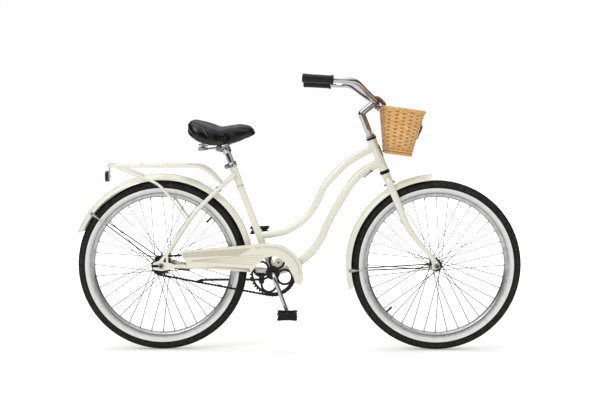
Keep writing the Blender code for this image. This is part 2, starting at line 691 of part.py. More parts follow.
def main_tubes():
    """Head, top, down and seat tubes with the bottom bracket shell, mitred to each other."""
    head = (HEAD_LOW_S, HEAD_HIGH_S)
    head_tool = ("DIFFERENCE", [cross_tube(head, HEAD_R + GAP, 0.02)])
    shell_tool = ("DIFFERENCE", [rod(BB - 0.05 * SIDE, BB + 0.05 * SIDE, BB_R + GAP, 24)])
    seat_tool = ("DIFFERENCE", [seat_bar(SEAT_TUBE_R + GAP, -0.01, SEAT_TUBE_L)])
    piece("head_tube", [tube([steer(s) for s in head], (HEAD_R, HEAD_R), 16, HEAD_WALL)], "cream_paint", "frame")
    top = smooth_path([steer(TOP_TUBE_S)] + [(x, 0, z) for x, z in TOP_TUBE_ROUTE] + [seat(TOP_TUBE_AT)], 12)
    piece("top_tube", [tube(top, (TOP_TUBE_R, TOP_TUBE_R), 10, TUBE_T)], "cream_paint", "frame", [head_tool, seat_tool])
    down = smooth_path([steer(DOWN_TUBE_S)] + [(x, 0, z) for x, z in DOWN_TUBE_ROUTE] + [BB], 12)
    piece("down_tube", [tube(down, (DOWN_TUBE_R, DOWN_TUBE_R), 10, TUBE_T)], "cream_paint", "frame",
          [head_tool, shell_tool])
    piece("seat_tube", [tube([seat(0), seat(SEAT_TUBE_L)], (SEAT_TUBE_R, SEAT_TUBE_R), 16, SEAT_TUBE_T)],
          "cream_paint", "frame", [shell_tool])
    piece("bottom_bracket_shell", [bush(BB_R - BB_WALL, BB_R, -BB_HALF, BB_HALF, BB, steps=16)], "cream_paint", "frame")
    for name, s, way in (("headset_lower_cup", HEAD_LOW_S, -1), ("headset_upper_cup", HEAD_HIGH_S, 1)):
        cup = [(STEERER_R + RUN_GAP * 2, GAP), (CUP_R - 0.003, GAP), (CUP_R, 0.003), (CUP_R, CUP_H),
               (STEERER_R + RUN_GAP * 2, CUP_H)]
        piece(name, [turned([(r, way * h) for r, h in cup], steer(s), STEER_UP, 12)], "chrome", "frame")
    for name, side in (("bottom_bracket_cup_right", -1), ("bottom_bracket_cup_left", 1)):
        cup = [(CUP_BORE, -0.010), (BB_R - BB_WALL - GAP * 2, -0.010), (BB_R - BB_WALL - GAP * 2, GAP),
               (BB_R - 0.002, GAP), (BB_R - 0.002, 0.0022), (CUP_BORE, 0.0022)]
        piece(name, [turned([(r, side * h) for r, h in cup], BB + side * BB_HALF * SIDE, steps=12)], "chrome", "frame")


CUP_BORE = CRANK_R + 2 * RUN_GAP
CHAIN_STAY_ROUTE = drawn(((-0.1200, 0.0240, 0.3085), (-0.1700, 0.0265, 0.3135), (-0.2000, 0.0300, 0.3165),
                    (-0.2400, 0.0420, 0.3205), (-0.3300, 0.0470, 0.3270), (-0.4300, 0.0500, 0.3310),
                    (-0.4860, 0.0530, 0.3325)), BB_X, -0.5380)
SEAT_STAY_ROUTE = drawn(((-0.2560, 0.0230, 0.6900), (-0.2750, 0.0290, 0.6680), (-0.3050, 0.0370, 0.6415),
                   (-0.3410, 0.0425, 0.6090), (-0.4030, 0.0465, 0.5460), (-0.4470, 0.0490, 0.4880),
                   (-0.4950, 0.0525, 0.4140), (-0.5180, 0.0545, 0.3780)), STAY_TOP_X, -0.5380)
SEAT_BRIDGE = drawn(((-0.3215, 0.6262),), STAY_TOP_X, -0.5380)[0]
CHAIN_BRIDGE = drawn(((-0.1720, 0.3135),), BB_X, -0.5380)[0]


def welded_stays(name, route, radii, bridge, bridge_y, cuts, count):
    """A pair of stays joined by a bridge."""
    right, left = both(tube(smooth_path(route, count), radii, 8, STAY_T))
    x, z = bridge
    bar = rod((x, -bridge_y, z), (x, bridge_y, z), BRIDGE_R, 8)
    to_hub = REAR_HUB - Vector((x, 0, z))
    angle = math.degrees(math.atan2(-to_hub.z, -to_hub.x))
    reach = to_hub.length - facet_radius(REAR_FENDER_R, REAR_FENDER_ARC, FENDER_STEPS[0], angle) - GAP
    boss = rod((x, 0, z), Vector((x, 0, z)) + reach * to_hub.normalized(), 0.0055, 6)
    piece(name, [right, left], "cream_paint", "frame", [("UNION", [bar]), ("UNION", [boss])] + cuts)


def stays():
    """Seat stays, chain stays and their dropout plates."""
    shell_tool = ("DIFFERENCE", [rod(BB - 0.05 * SIDE, BB + 0.05 * SIDE, BB_R + GAP, 24)])
    welded_stays("chain_stays", CHAIN_STAY_ROUTE, ((CHAIN_STAY_R, CHAIN_STAY_R), (STAY_END_R, STAY_END_R)),
                 CHAIN_BRIDGE, 0.0270, [shell_tool], 8)
    seat_tool = ("DIFFERENCE", [seat_bar(SEAT_TUBE_R + GAP, 0.2, SEAT_TUBE_L + 0.05)])
    welded_stays("seat_stays", SEAT_STAY_ROUTE, ((SEAT_STAY_R, SEAT_STAY_R), (STAY_END_R, STAY_END_R)),
                 SEAT_BRIDGE, 0.0395, [seat_tool], 8)


main_tubes()
stays()


def dropouts():
    """Rear dropout plates, open towards the rear for the axle."""
    x, z = REAR_HUB.x, REAR_HUB.z
    slot = AXLE_R + GAP
    outline = [(x - 0.034, z + slot), (x + slot, z + slot), (x + slot, z - slot), (x - 0.034, z - slot),
               (x - 0.030, z - 0.014), (x + 0.004, z - 0.019), (x + 0.0515, z - 0.010), (x + 0.0515, z + 0.007),
               (x + 0.028, z + 0.014), (x + 0.0265, z + 0.0445), (x + 0.0095, z + 0.0415), (x - 0.010, z + 0.020),
               (x - 0.030, z + 0.014)]
    for name, side in (("dropout_right", -1), ("dropout_left", 1)):
        low, high = sorted((side * REAR_DROP_Y, side * (REAR_DROP_Y + DROPOUT_T)))
        piece(name, [prism(outline, low, high)], "cream_paint", "frame", stay_trims)


def stay_bar(end, inner):
    """Bar through a stay's end, used to trim the plate that is welded to it."""
    end, inner = Vector(end), Vector(inner)
    along = (end - inner).normalized()
    bars = []
    for side in (-1, 1):
        flip = Vector((1, side, 1))
        bars.append(rod((end - 0.05 * along) * flip, (end + GAP * along) * flip, STAY_END_R + 2 * GAP, 12))
    return bars


stay_trims = [("DIFFERENCE", stay_bar(CHAIN_STAY_ROUTE[-1], CHAIN_STAY_ROUTE[-2])),
              ("DIFFERENCE", stay_bar(SEAT_STAY_ROUTE[-1], SEAT_STAY_ROUTE[-2]))]
dropouts()


def rear_axle():
    """Rear axle with its nuts drawn up against the dropouts."""
    nut_y = REAR_DROP_Y + DROPOUT_T + GAP
    nuts = [hex_nut(REAR_HUB + side * nut_y * SIDE, side * SIDE, NUT_R, NUT_H) for side in (-1, 1)]
    axle = rod(REAR_HUB - REAR_AXLE_HALF * SIDE, REAR_HUB + REAR_AXLE_HALF * SIDE, AXLE_R, 12)
    cone = turned([(AXLE_R / 2, 0.0100), (0.0125, 0.0100), (0.0150, 0.0330), (0.0150, 0.0370), (AXLE_R / 2, 0.0370)],
                  REAR_HUB)
    piece("rear_axle", [axle], "spoke_steel", "frame", [("UNION", nuts), ("UNION", [cone])])


def coaster_brake():
    """Shoe ring inside the hub, and the reaction arm clipped to the left chain stay."""
    gap = math.radians(6)
    outer, inner = HUB_BORE_R * math.cos(math.pi / 12) - RUN_GAP, 0.0131
    angles = np.linspace(gap, 2 * math.pi - gap, 12)
    rows = [[REAR_HUB + Vector((r * math.cos(a), y, r * math.sin(a)))
             for r, y in ((outer, -0.0240), (outer, 0.0080), (inner, 0.0080), (inner, -0.0240))] for a in angles]
    ring = [p for row in rows for p in row], skin(12, 4, 0) + [(0, 1, 2, 3), (44, 45, 46, 47)]
    piece("brake_shoes", [ring], "badge_metal", "frame")
    x, z = REAR_HUB.x, REAR_HUB.z
    outline = [(x - 0.015, z), (x - 0.009, z + 0.013), (x + 0.008, z + 0.013), (x + 0.060, z - 0.0135),
               (x + 0.102, z - 0.0250), (x + 0.102, z - 0.0340), (x + 0.060, z - 0.0265), (x - 0.004, z - 0.0150)]
    plate = prism(outline, BRAKE_ARM_Y, BRAKE_ARM_Y + 0.0030)
    clip_x, clip_z = x + 0.090, z - 0.0265
    clip = block((clip_x - 0.006, BRAKE_ARM_Y - 0.0060, clip_z - 0.004),
                 (clip_x + 0.006, BRAKE_ARM_Y + 0.0060, CLIP_TOP_Z))
    piece("brake_arm", [plate], "chrome", "frame",
          [("DIFFERENCE", [rod((x, BRAKE_ARM_Y - 0.01, z), (x, BRAKE_ARM_Y + 0.02, z), AXLE_BORE, 12)]),
           ("UNION", [clip])])


REAR_AXLE_HALF = 0.0760
BRAKE_ARM_Y = 0.0480
CLIP_TOP_Z = 0.3213
rear_axle()
coaster_brake()


def fender_section(radius):
    """Rounded sheet section of a mudguard: crown, shoulder and skirt."""
    outer = [(radius, 0.006), (radius - 0.0050, 0.62 * FENDER_HALF), (radius - FENDER_DROP, FENDER_HALF)]
    inner = [(radius - FENDER_DROP, FENDER_HALF - FENDER_T),
             (radius - 0.0050 - FENDER_T, 0.62 * FENDER_HALF - 0.0006), (radius - FENDER_T, 0.006)]
    return loop_of(outer + inner)


def fenders():
    """Rear and front mudguards."""
    piece("rear_fender", [swept_sheet(fender_section(REAR_FENDER_R), REAR_HUB, *REAR_FENDER_ARC, FENDER_STEPS[0])],
          "cream_paint", "frame")
    piece("front_fender", [swept_sheet(fender_section(FRONT_FENDER_R), FRONT_HUB, *FRONT_FENDER_ARC, FENDER_STEPS[1])],
          "cream_paint", "fork")


fenders()


RACE_S = HEAD_LOW_S - GAP - CUP_H - GAP
LOCKNUT_S = HEAD_HIGH_S + GAP + CUP_H + GAP
STEERER_LOW_S = CROWN_S - 0.0120
STEERER_TOP_S = LOCKNUT_S + 0.0130
FORK_TIP = (0.036, 0.0370, 0.0540)
FRONT_STAY_EYE = (-0.0270, -0.0040)
BLADE_ROUTE = ((CROWN_S, 0.0, 0.0060), (CROWN_S - 0.0008, 0.0, 0.0260), (CROWN_S - 0.0100, 0.0, 0.0380),
               (0.3550, 0.0, 0.0435), (0.3000, 0.0, 0.0455), (0.2100, 0.0005, 0.0475), (0.1650, 0.0060, 0.0490),
               (0.1140, 0.0190, 0.0505), (0.0600, 0.0380, 0.0520), (0.0280, 0.0468, 0.0525))


def fork():
    """Steerer with its crown race and mudguard bolt, and the two blades with their tips."""
    race = bush(STEERER_R - STEERER_WALL / 2, 0.0185, RACE_S - 0.0050, RACE_S, STEER_FOOT, STEER_UP)
    bolt = rod(steer(FRONT_FENDER_R - 0.008), steer(STEERER_LOW_S + 0.001), STEERER_R - 0.0002, 12)
    seat_disc = rod(FRONT_HUB - 0.03 * SIDE, FRONT_HUB + 0.03 * SIDE, FRONT_FENDER_R + GAP, 120)
    piece("fork_steerer", [tube([steer(STEERER_LOW_S), steer(STEERER_TOP_S)], (STEERER_R, STEERER_R), 12, STEERER_WALL)],
          "cream_paint", "fork", [("UNION", [race]), ("UNION", [bolt]), ("DIFFERENCE", [seat_disc])])
    steerer_tool = ("DIFFERENCE", [rod(steer(0.30), steer(0.45), (STEERER_R + GAP) / math.cos(math.pi / 16), 16)])
    slot = AXLE_R + GAP
    plan = [(FORK_TIP[0], FORK_TIP[1]), (FORK_TIP[0], FORK_TIP[2]), (0.004, FORK_RAKE + 0.012),
            (-0.011, FORK_RAKE + 0.009), (-0.011, FORK_RAKE + slot), (slot, FORK_RAKE + slot),
            (slot, FORK_RAKE - slot), (-0.011, FORK_RAKE - slot), (-0.011, FORK_RAKE - 0.009),
            (0.000, FORK_RAKE - 0.033), (0.008, FORK_RAKE - 0.033), (0.012, FORK_RAKE - 0.016)]
    corners = [steer(a, b) for a, b in plan]
    for name, side in (("fork_blade_right", -1), ("fork_blade_left", 1)):
        route = smooth_path([steer(s, forward, side * y) for s, forward, y in BLADE_ROUTE], 10)
        low, high = sorted((side * FRONT_DROP_Y, side * (FRONT_DROP_Y + FORK_TIP_T)))
        tip = prism([(c.x, c.z) for c in corners], low, high)
        piece(name, [tube(route, (BLADE_TOP, BLADE_END), 8, BLADE_WALL, STEER_FWD)], "cream_paint", "fork",
              [("UNION", [tip]), steerer_tool])
    bore = (STEERER_R + GAP) / math.cos(math.pi / 12)
    nut = [(bore, LOCKNUT_S), (0.0185, LOCKNUT_S), (0.0185, LOCKNUT_S + 0.0100),
           (0.0150, STEERER_TOP_S + 0.0015), (bore, STEERER_TOP_S + 0.0015)]
    piece("headset_locknut", [turned(nut, STEER_FOOT, STEER_UP)], "chrome", "fork")
    nut_y = FRONT_DROP_Y + FORK_TIP_T + GAP
    nuts = [hex_nut(FRONT_HUB + side * nut_y * SIDE, side * SIDE, NUT_R, NUT_H) for side in (-1, 1)]
    axle = rod(FRONT_HUB - FRONT_AXLE_HALF * SIDE, FRONT_HUB + FRONT_AXLE_HALF * SIDE, AXLE_R, 12)
    piece("front_axle", [axle], "spoke_steel", "fork", [("UNION", nuts)])


def fender_stay(name, hub, eye, eye_y, radius, sweep, steps, angle, body):
    """Wire stay from one dropout, under the mudguard and back to the other dropout."""
    out = Vector((math.cos(math.radians(angle)), 0, math.sin(math.radians(angle))))
    under = facet_radius(radius - FENDER_T, sweep, steps, angle) - WIRE_R - STAY_DROP
    skirt = radius - FENDER_DROP
    start = hub + Vector((eye[0], 0, eye[1]))
    half = [(start, eye_y), (start + 0.5 * (hub + (skirt - 0.012) * out - start), (eye_y + 0.036) / 2),
            (hub + (skirt - 0.012) * out, 0.0355), (hub + (skirt - 0.002) * out, 0.0275), (hub + under * out, 0.0130)]
    right = [at - y * SIDE for at, y in half]
    left = [at + y * SIDE for at, y in reversed(half)]
    route = right + [hub + under * out] + left
    piece(name, [tube(route, (WIRE_R, WIRE_R), 6, up=out.cross(SIDE))], "spoke_steel", body)


REAR_STAY_EYE = (-0.0270, 0.0240)
REAR_AXLE_OUT = REAR_DROP_Y + DROPOUT_T + 4 * GAP + WIRE_R
FRONT_AXLE_HALF = 0.0700
STAY_DROP = 0.0042        # lets the wire pass under the sheet's curve
fork()
fender_stay("rear_fender_stay", REAR_HUB, REAR_STAY_EYE, REAR_AXLE_OUT, REAR_FENDER_R, REAR_FENDER_ARC,
            FENDER_STEPS[0], 143.5, "frame")
fender_stay("front_fender_stay", FRONT_HUB, FRONT_STAY_EYE, FRONT_DROP_Y + FORK_TIP_T + 4 * GAP + WIRE_R,
            FRONT_FENDER_R, FRONT_FENDER_ARC, FENDER_STEPS[1], 183.5, "fork")


BAR_ROUTE = ((CLAMP_X, 0.0580, CLAMP_Z), (CLAMP_X - 0.0074, 0.0860, CLAMP_Z + 0.0056),
             (CLAMP_X - 0.0389, 0.1700, CLAMP_Z + 0.0308),
             (CLAMP_X - 0.0749, 0.2480, CLAMP_Z + 0.0606), (CLAMP_X - 0.0999, 0.2830, 1.0455),
             (CLAMP_X - 0.1339, 0.3020, 1.0483), (CLAMP_X - 0.1699, 0.3107, 1.0494))
GRIP_START = (CLAMP_X - 0.1719, 0.3110, 1.0495)
GRIP_CAP = 0.0030


def handlebar():
    """Swept-back bar, its stem and the two grips."""
    start, end = Vector(GRIP_START), Vector(GRIP_END)
    along = (end - start).normalized()
    tip = end - (GRIP_CAP + GAP) * along
    half = smooth_path(BAR_ROUTE[:-1] + (GRIP_START,), 8) + [tip]
    flip = Vector((1, -1, 1))
    route = [p * flip for p in reversed(half)] + half
    piece("handlebar", [tube(route, (BAR_R, BAR_R), 8, BAR_T, Vector((0, 0, 1)))], "chrome", "fork")
    length = (end - start).length - 0.003
    bore = (BAR_R + 2 * GAP) / math.cos(math.pi / 10)
    marks = [(bore, 0.0), (GRIP_R + 0.002, 0.0), (GRIP_R + 0.002, 0.005), (GRIP_R, 0.007), (GRIP_R, length - 0.004),
             (GRIP_R - 0.003, length), (0.0, length), (0.0, length - GRIP_CAP), (bore, length - GRIP_CAP)]
    for name, side in (("grip_right", -1), ("grip_left", 1)):
        way = Vector((along.x, side * along.y, along.z))
        piece(name, [turned(marks, Vector((end.x, side * end.y, end.z)) - length * way, way, 10)], "soft_rubber", "fork")
    centre = Vector((CLAMP_X, 0, CLAMP_Z))
    arm = [steer(STEM_LOW_S), steer(0.6300), steer(STEM_TOP_S - 0.010), steer(STEM_TOP_S + 0.002, 0.006),
           centre - 0.030 * (centre - steer(STEM_TOP_S)).normalized(), centre]
    clamp = rod(centre - CLAMP_HALF * SIDE, centre + CLAMP_HALF * SIDE, CLAMP_R, 14)
    bolt = rod(centre + Vector((0.002, 0, -0.012)), centre + Vector((0.004, 0, -0.028)), 0.0050, 8)
    hole = rod(centre - 0.05 * SIDE, centre + 0.05 * SIDE, (BAR_R + 2 * GAP) / math.cos(math.pi / 16), 16)
    piece("stem", [tube(arm, (STEM_R, STEM_R), 10)], "chrome", "fork",
          [("UNION", [clamp]), ("UNION", [bolt]), ("DIFFERENCE", [hole])])


def basket_place(u, y, h):
    """Point in the basket: u forwards from the top of its back, h up from its floor."""
    forward = Vector((math.cos(BASKET_TILT), 0, -math.sin(BASKET_TILT)))
    upward = Vector((math.sin(BASKET_TILT), 0, math.cos(BASKET_TILT)))
    top = Vector((BASKET_TOP[0], 0, BASKET_TOP[1]))
    return top + u * forward + y * SIDE + (h - BASKET_HEIGHT) * upward


def basket_ring(h, inset):
    """Rounded outline of the basket at a height, moved in by a wall."""
    share = h / BASKET_HEIGHT
    back = BASKET_LEAN * (1 - share) + inset
    depth = BASKET_LOW_DEPTH + share * (BASKET_TOP_DEPTH - BASKET_LOW_DEPTH) - 2 * inset
    half = BASKET_LOW_HALF + share * (BASKET_TOP_HALF - BASKET_LOW_HALF) - inset
    front, rear = 0.42 * depth, 0.12 * depth
    plan = [(depth - front + front * math.sin(math.radians(a)), half - 0.45 * half * (1 - math.cos(math.radians(a))))
            for a in (90, 66, 40, 18, 0)]
    plan += [(rear, half), (rear * 0.3, half - rear * 0.3), (0.0, half - rear)]
    return [basket_place(back + u, y, h) for u, y in plan] + [basket_place(back + u, -y, h) for u, y in reversed(plan)]


def basket():
    """Basket shell with a rolled rim, open at the top, and the two straps that hang it on the bar."""
    low = BASKET_HEIGHT - BASKET_RIM_H
    rings = [basket_ring(0.0, 0.0), basket_ring(low, 0.0), basket_ring(low, -BASKET_RIM),
             basket_ring(BASKET_HEIGHT, -BASKET_RIM), basket_ring(BASKET_HEIGHT, BASKET_WALL),
             basket_ring(BASKET_WALL, BASKET_WALL)]
    n = len(rings[0])
    faces = skin(len(rings), n, 0) + [tuple(range(n)), tuple((len(rings) - 1) * n + k for k in range(n))]
    piece("basket", [([p for ring in rings for p in ring], faces)], "wicker", "fork")
    centre = Vector((CLAMP_X, 0, CLAMP_Z))
    loop_r = BAR_R + 0.0026
    seat_gap = STRAP_T / 2 + 1.5 * GAP
    outside = basket_place(-BASKET_RIM - seat_gap, 0, BASKET_HEIGHT - 0.030)
    outside_top = basket_place(-BASKET_RIM - seat_gap, 0, BASKET_HEIGHT + 0.001)
    inside_top = basket_place(BASKET_WALL + seat_gap, 0, BASKET_HEIGHT + 0.004)
    inside = basket_place(BASKET_WALL + seat_gap + 0.006, 0, BASKET_HEIGHT - 0.026)
    over = [(centre.x + loop_r * math.cos(math.radians(a)), centre.z + loop_r * math.sin(math.radians(a)))
            for a in (245, 200, 150, 100, 60, 25)]
    line = [(outside.x, outside.z), (outside_top.x, outside_top.z)] + over + [(inside_top.x, inside_top.z), (inside.x, inside.z)]
    for name, side in (("basket_strap_right", -1), ("basket_strap_left", 1)):
        low_y, high_y = side * STRAP_Y - STRAP_W / 2, side * STRAP_Y + STRAP_W / 2
        piece(name, [prism(ribbon(line, STRAP_T), low_y, high_y)], "leather", "fork")


def ribbon(line, thick):
    """Outline of a strip of even thickness about a line of (x, z) points."""
    p = np.array(line)
    t = np.gradient(p, axis=0)
    t /= np.linalg.norm(t, axis=1)[:, None]
    n = np.stack([-t[:, 1], t[:, 0]], axis=1) * thick / 2
    return [tuple(q) for q in p + n] + [tuple(q) for q in (p - n)[::-1]]


handlebar()
basket()


def seat_post():
    """Seat post in its tube and the clamp that holds it."""
    piece("seat_post", [tube([seat(POST_LOW), seat(POST_TOP)], (POST_R, POST_R), 16, POST_T)], "chrome", "seat_post")
    low, high = SEAT_TUBE_L - 0.0200, SEAT_TUBE_L - 0.0004
    band = turned([(SEAT_TUBE_R - 0.004, low), (0.0180, low), (0.0180, high), (SEAT_TUBE_R - 0.004, high)], BB, SEAT_UP, 12)
    bolt = seat((low + high) / 2, -0.0205)
    ears = rod(bolt - 0.0125 * SIDE, bolt + 0.0125 * SIDE, 0.0078, 8)
    pin = rod(bolt - 0.0170 * SIDE, bolt + 0.0185 * SIDE, 0.0055, 6)
    piece("seat_clamp", [band], "chrome", "frame",
          [("UNION", [ears]), ("UNION", [pin]), ("DIFFERENCE", [seat_bar(SEAT_TUBE_R + GAP, 0.40, 0.50)])])


SPRING_LOW = RAIL_Z + RAIL_R + GAP + SPRING_WIRE
SPRING_HIGH = PAD_ROOF_Z - GAP - SPRING_WIRE
SADDLE_CLAMP = (-0.3090, 0.7850)
RAIL_ROUTE = ((SPRING_X - 0.006, 0.0340, RAIL_Z), (-0.3500, 0.0250, RAIL_Z), (-0.3250, RAIL_HALF, RAIL_Z),
              (-0.2850, RAIL_HALF, 0.7830), (-0.2600, 0.0215, 0.7930), (-0.2350, 0.0180, 0.8140),
              (-0.2150, 0.0120, 0.8320), (SADDLE_HINGE_X, 0.0090, PAD_ROOF_Z - GAP - HINGE_PIN_R))
# Saddle sections: x, half width, skirt edge, top
PAD_SECTIONS = ((-0.4340, 0.0450, 0.8630, 0.8760), (-0.4310, 0.0720, 0.8500, 0.8900), (-0.4240, 0.0920, 0.8430, 0.8990),
                (-0.4120, 0.1050, 0.8340, 0.9050), (-0.3960, 0.1110, 0.8230, 0.9025), (-0.3760, SADDLE_HALF, 0.8145, 0.8980),
                (-0.3560, 0.1110, 0.8072, 0.8930), (-0.3360, 0.1040, 0.8032, 0.8868), (-0.3180, 0.0920, 0.8012, 0.8795),
                (-0.3020, 0.0770, 0.8030, 0.8760), (-0.2860, 0.0620, 0.8055, 0.8775), (-0.2680, 0.0500, 0.8087, 0.8806),
                (-0.2480, 0.0410, 0.8135, 0.8832), (-0.2280, 0.0360, 0.8210, 0.8858), (-0.2080, 0.0320, 0.8300, 0.8862),
                (-0.1940, 0.0285, 0.8385, 0.8835), (-0.1840, 0.0235, 0.8450, 0.8770), (-0.1770, 0.0160, 0.8495, 0.8680),
                (SADDLE_NOSE_X, 0.0070, 0.8530, 0.8590))


def pad_ring(x, half, skirt, top):
    """Section of the saddle pad: crown, rolled edge, skirt and the hollow underneath."""
    wall = min(0.0060, 0.3 * half)
    rise = top - skirt
    roof = min(max(PAD_ROOF_Z, skirt + 0.20 * rise), top - 0.4 * rise)
    right = [(0.0, top), (0.40 * half, top - 0.015 * rise), (0.70 * half, top - 0.080 * rise),
             (0.90 * half, top - 0.250 * rise), (half, skirt + 0.40 * rise), (0.99 * half, skirt),
             (0.99 * half - wall, skirt), (half - 1.2 * wall, roof - 0.1 * rise), (half - 2.2 * wall, roof), (0.0, roof)]
    return [Vector((x, -y, z)) for y, z in right] + [Vector((x, y, z)) for y, z in reversed(right[1:-1])]


def turn_gap(line, per_turn, thick):
    """Least distance between points of a coil at least half a turn apart, less the wire."""
    p = np.array([tuple(q) for q in line])
    d = np.linalg.norm(p[:, None] - p[None], axis=2)
    apart = np.abs(np.subtract.outer(np.arange(len(p)), np.arange(len(p)))) > per_turn // 2
    return d[apart].min() - thick


def saddle():
    """Saddle pad hinged at its nose, on two coil springs and a wire frame."""
    rings = [pad_ring(*row) for row in PAD_SECTIONS]
    n = len(rings[0])
    faces = skin(len(rings), n, 0) + [tuple(range(n)), tuple((len(rings) - 1) * n + k for k in range(n))]
    piece("saddle_pad", [([p for ring in rings for p in ring], faces)], "black_vinyl", "saddle", smooth=50)
    rail = tube(smooth_path(RAIL_ROUTE, 9), (RAIL_R, RAIL_R), 6)
    plate = block((SPRING_X - 0.0160, -SPRING_Y - 0.016, RAIL_Z + 0.0005), (SPRING_X + 0.0160, SPRING_Y + 0.016, RAIL_Z + RAIL_R))
    nose = Vector((SADDLE_HINGE_X, 0, PAD_ROOF_Z - GAP - HINGE_PIN_R))
    pin = rod(nose - 0.0150 * SIDE, nose + 0.0150 * SIDE, HINGE_PIN_R, 10)
    clamp_at = Vector((SADDLE_CLAMP[0], 0, SADDLE_CLAMP[1]))
    clamp = rod(clamp_at - 0.0310 * SIDE, clamp_at + 0.0310 * SIDE, 0.0125, 10)
    collar = rod(seat(POST_TOP - 0.026), seat(POST_TOP + 0.001), 0.0175, 14)
    piece("saddle_frame", [plate], "chrome", "seat_post",
          [("UNION", both(rail)), ("UNION", [pin]), ("UNION", [clamp]), ("UNION", [collar]),
           ("DIFFERENCE", [rod(seat(0.45), seat(0.60), (POST_R + GAP) / math.cos(math.pi / 16), 16)])])
    count = 8 * SPRING_TURNS + 1
    for name, side in (("saddle_spring_right", -1), ("saddle_spring_left", 1)):
        coil = []
        for k in range(count):
            a = 2 * math.pi * SPRING_TURNS * k / (count - 1)
            z = SPRING_LOW + (SPRING_HIGH - SPRING_LOW) * k / (count - 1)
            coil.append(Vector((SPRING_X + SPRING_R * math.cos(a), side * (SPRING_Y + SPRING_R * math.sin(a)), z)))
        piece(name, [tube(coil, (SPRING_WIRE, SPRING_WIRE), 5, up=Vector((0, 0, 1)))], "chrome", "seat_post")
        print(name, "least gap between its turns, m:", round(turn_gap(coil, 8, 2 * SPRING_WIRE), 5))


RACK_SIDE = drawn(((-0.3000, 0.0370, 0.6460), (-0.3250, 0.0480, 0.6770), (-0.3480, 0.0600, 0.7000), (-0.3700, 0.0655, 0.7150),
             (-0.3950, RACK_HALF, RACK_Z - 0.0015), (-0.4200, RACK_HALF, RACK_Z), (-0.7000, RACK_HALF, RACK_Z),
             (-0.7180, RACK_HALF - 0.003, RACK_Z), (-0.7320, RACK_HALF - 0.013, RACK_Z),
             (-0.7420, RACK_HALF - 0.032, RACK_Z)), STAY_TOP_X, -0.5380)
STRUT_ROUTE = drawn(((-0.7100, RACK_HALF, RACK_Z), (-0.6900, 0.0665, 0.7120), (-0.6235, 0.0650, 0.6850), (-0.5550, 0.0620, 0.6570),
               (-0.5140, 0.0590, 0.6170), (-0.4780, 0.0560, 0.5700), (-0.4340, 0.0490, 0.5060)), STAY_TOP_X, -0.5380)
STRUT_R = 0.0053
REFLECTOR_Z = 0.6820
TAB_X = RACK_REAR_X - 0.0060


def rack():
    """Rear carrier, its two struts and the reflector."""
    stay_path = smooth_path(SEAT_STAY_ROUTE, 8)
    stay_tool = tube(stay_path, ((SEAT_STAY_R + 2 * GAP, SEAT_STAY_R + 2 * GAP), (STAY_END_R + 2 * GAP, STAY_END_R + 2 * GAP)), 12)
    right = [Vector((x, -y, z)) for x, y, z in RACK_SIDE]
    left = [Vector((x, y, z)) for x, y, z in reversed(RACK_SIDE)]
    rail = tube(right + left, (RACK_R, RACK_R), 8, up=Vector((0, 0.02, 1)))
    bars = [rod((x, -RACK_HALF, RACK_Z), (x, RACK_HALF, RACK_Z), RACK_BAR_R, 8) for x in RACK_BARS_X]
    tab = block((TAB_X, -0.0110, REFLECTOR_Z - 0.0150), (TAB_X + 0.0020, 0.0110, RACK_Z + 0.0020))
    foot = block((TAB_X, -0.0110, RACK_Z - 0.0010), (RACK_REAR_X, 0.0110, RACK_Z + 0.0020))
    piece("rack", [rail], "cream_paint", "frame",
          [("UNION", bars), ("UNION", [tab]), ("UNION", [foot]), ("DIFFERENCE", both(stay_tool))])
    for name, side in (("rack_strut_right", -1), ("rack_strut_left", 1)):
        flip = Vector((1, side, 1))
        route = [p * flip for p in smooth_path(STRUT_ROUTE, 11)]
        tool = stay_tool if side > 0 else mirrored(stay_tool)
        rail_tool = tube(right if side < 0 else left, (RACK_R + 2 * GAP, RACK_R + 2 * GAP), 8,
                         up=Vector((0, 0.02, 1)))
        piece(name, [tube(route, (STRUT_R, STRUT_R), 8)], "cream_paint", "frame",
              [("DIFFERENCE", [tool]), ("DIFFERENCE", [rail_tool])])
    half_w, half_h, cut = REFLECTOR_W / 2, REFLECTOR_H / 2, 0.008
    face = [(half_w, half_h - cut), (half_w - cut, half_h), (cut - half_w, half_h), (-half_w, half_h - cut),
            (-half_w, cut - half_h), (cut - half_w, -half_h), (half_w - cut, -half_h), (half_w, cut - half_h)]
    piece("rear_reflector", [prism(face, TAB_X - GAP - 0.0120, TAB_X - GAP,
                                   lambda a, b, c: Vector((c, a, REFLECTOR_Z + b)))], "red_lens", "frame")


seat_post()
saddle()
rack()



# Chain guard outline, x and z: the lipped outer edge from its rear end, then the inner edge back
GUARD_UPPER = drawn(((-0.4618, 0.3924), (-0.3480, 0.4028), (-0.2372, 0.4125), (-0.1706, 0.4191), (-0.1261, 0.4226),
               (-0.0816, 0.4191), (-0.0576, 0.4102), (-0.0374, 0.3966), (-0.0169, 0.3800), (-0.0018, 0.3614),
               (0.0083, 0.3420), (0.0137, 0.3211), (0.0160, 0.2855), (0.0071, 0.2611)), GUARD_BEND_X, -0.5380)
GUARD_INNER = drawn(((-0.0150, 0.2677), (-0.0219, 0.2909), (-0.0328, 0.3122), (-0.0444, 0.3350), (-0.0595, 0.3525),
               (-0.0827, 0.3672), (-0.1083, 0.3722), (-0.1303, 0.3660), (-0.1485, 0.3525), (-0.1706, 0.3300),
               (-0.1892, 0.3064), (-0.1938, 0.3246), (-0.3092, 0.3323), (-0.4331, 0.3273), (-0.4448, 0.3552),
               (-0.4552, 0.3668)), GUARD_BEND_X, -0.5380)
GUARD_FRONT_ARM = ((-0.1480, 0.4030), (-0.1380, 0.4080))
GUARD_REAR_ARM = drawn(((-0.4300, 0.3290), (-0.4180, 0.3330)), GUARD_BEND_X, -0.5380)


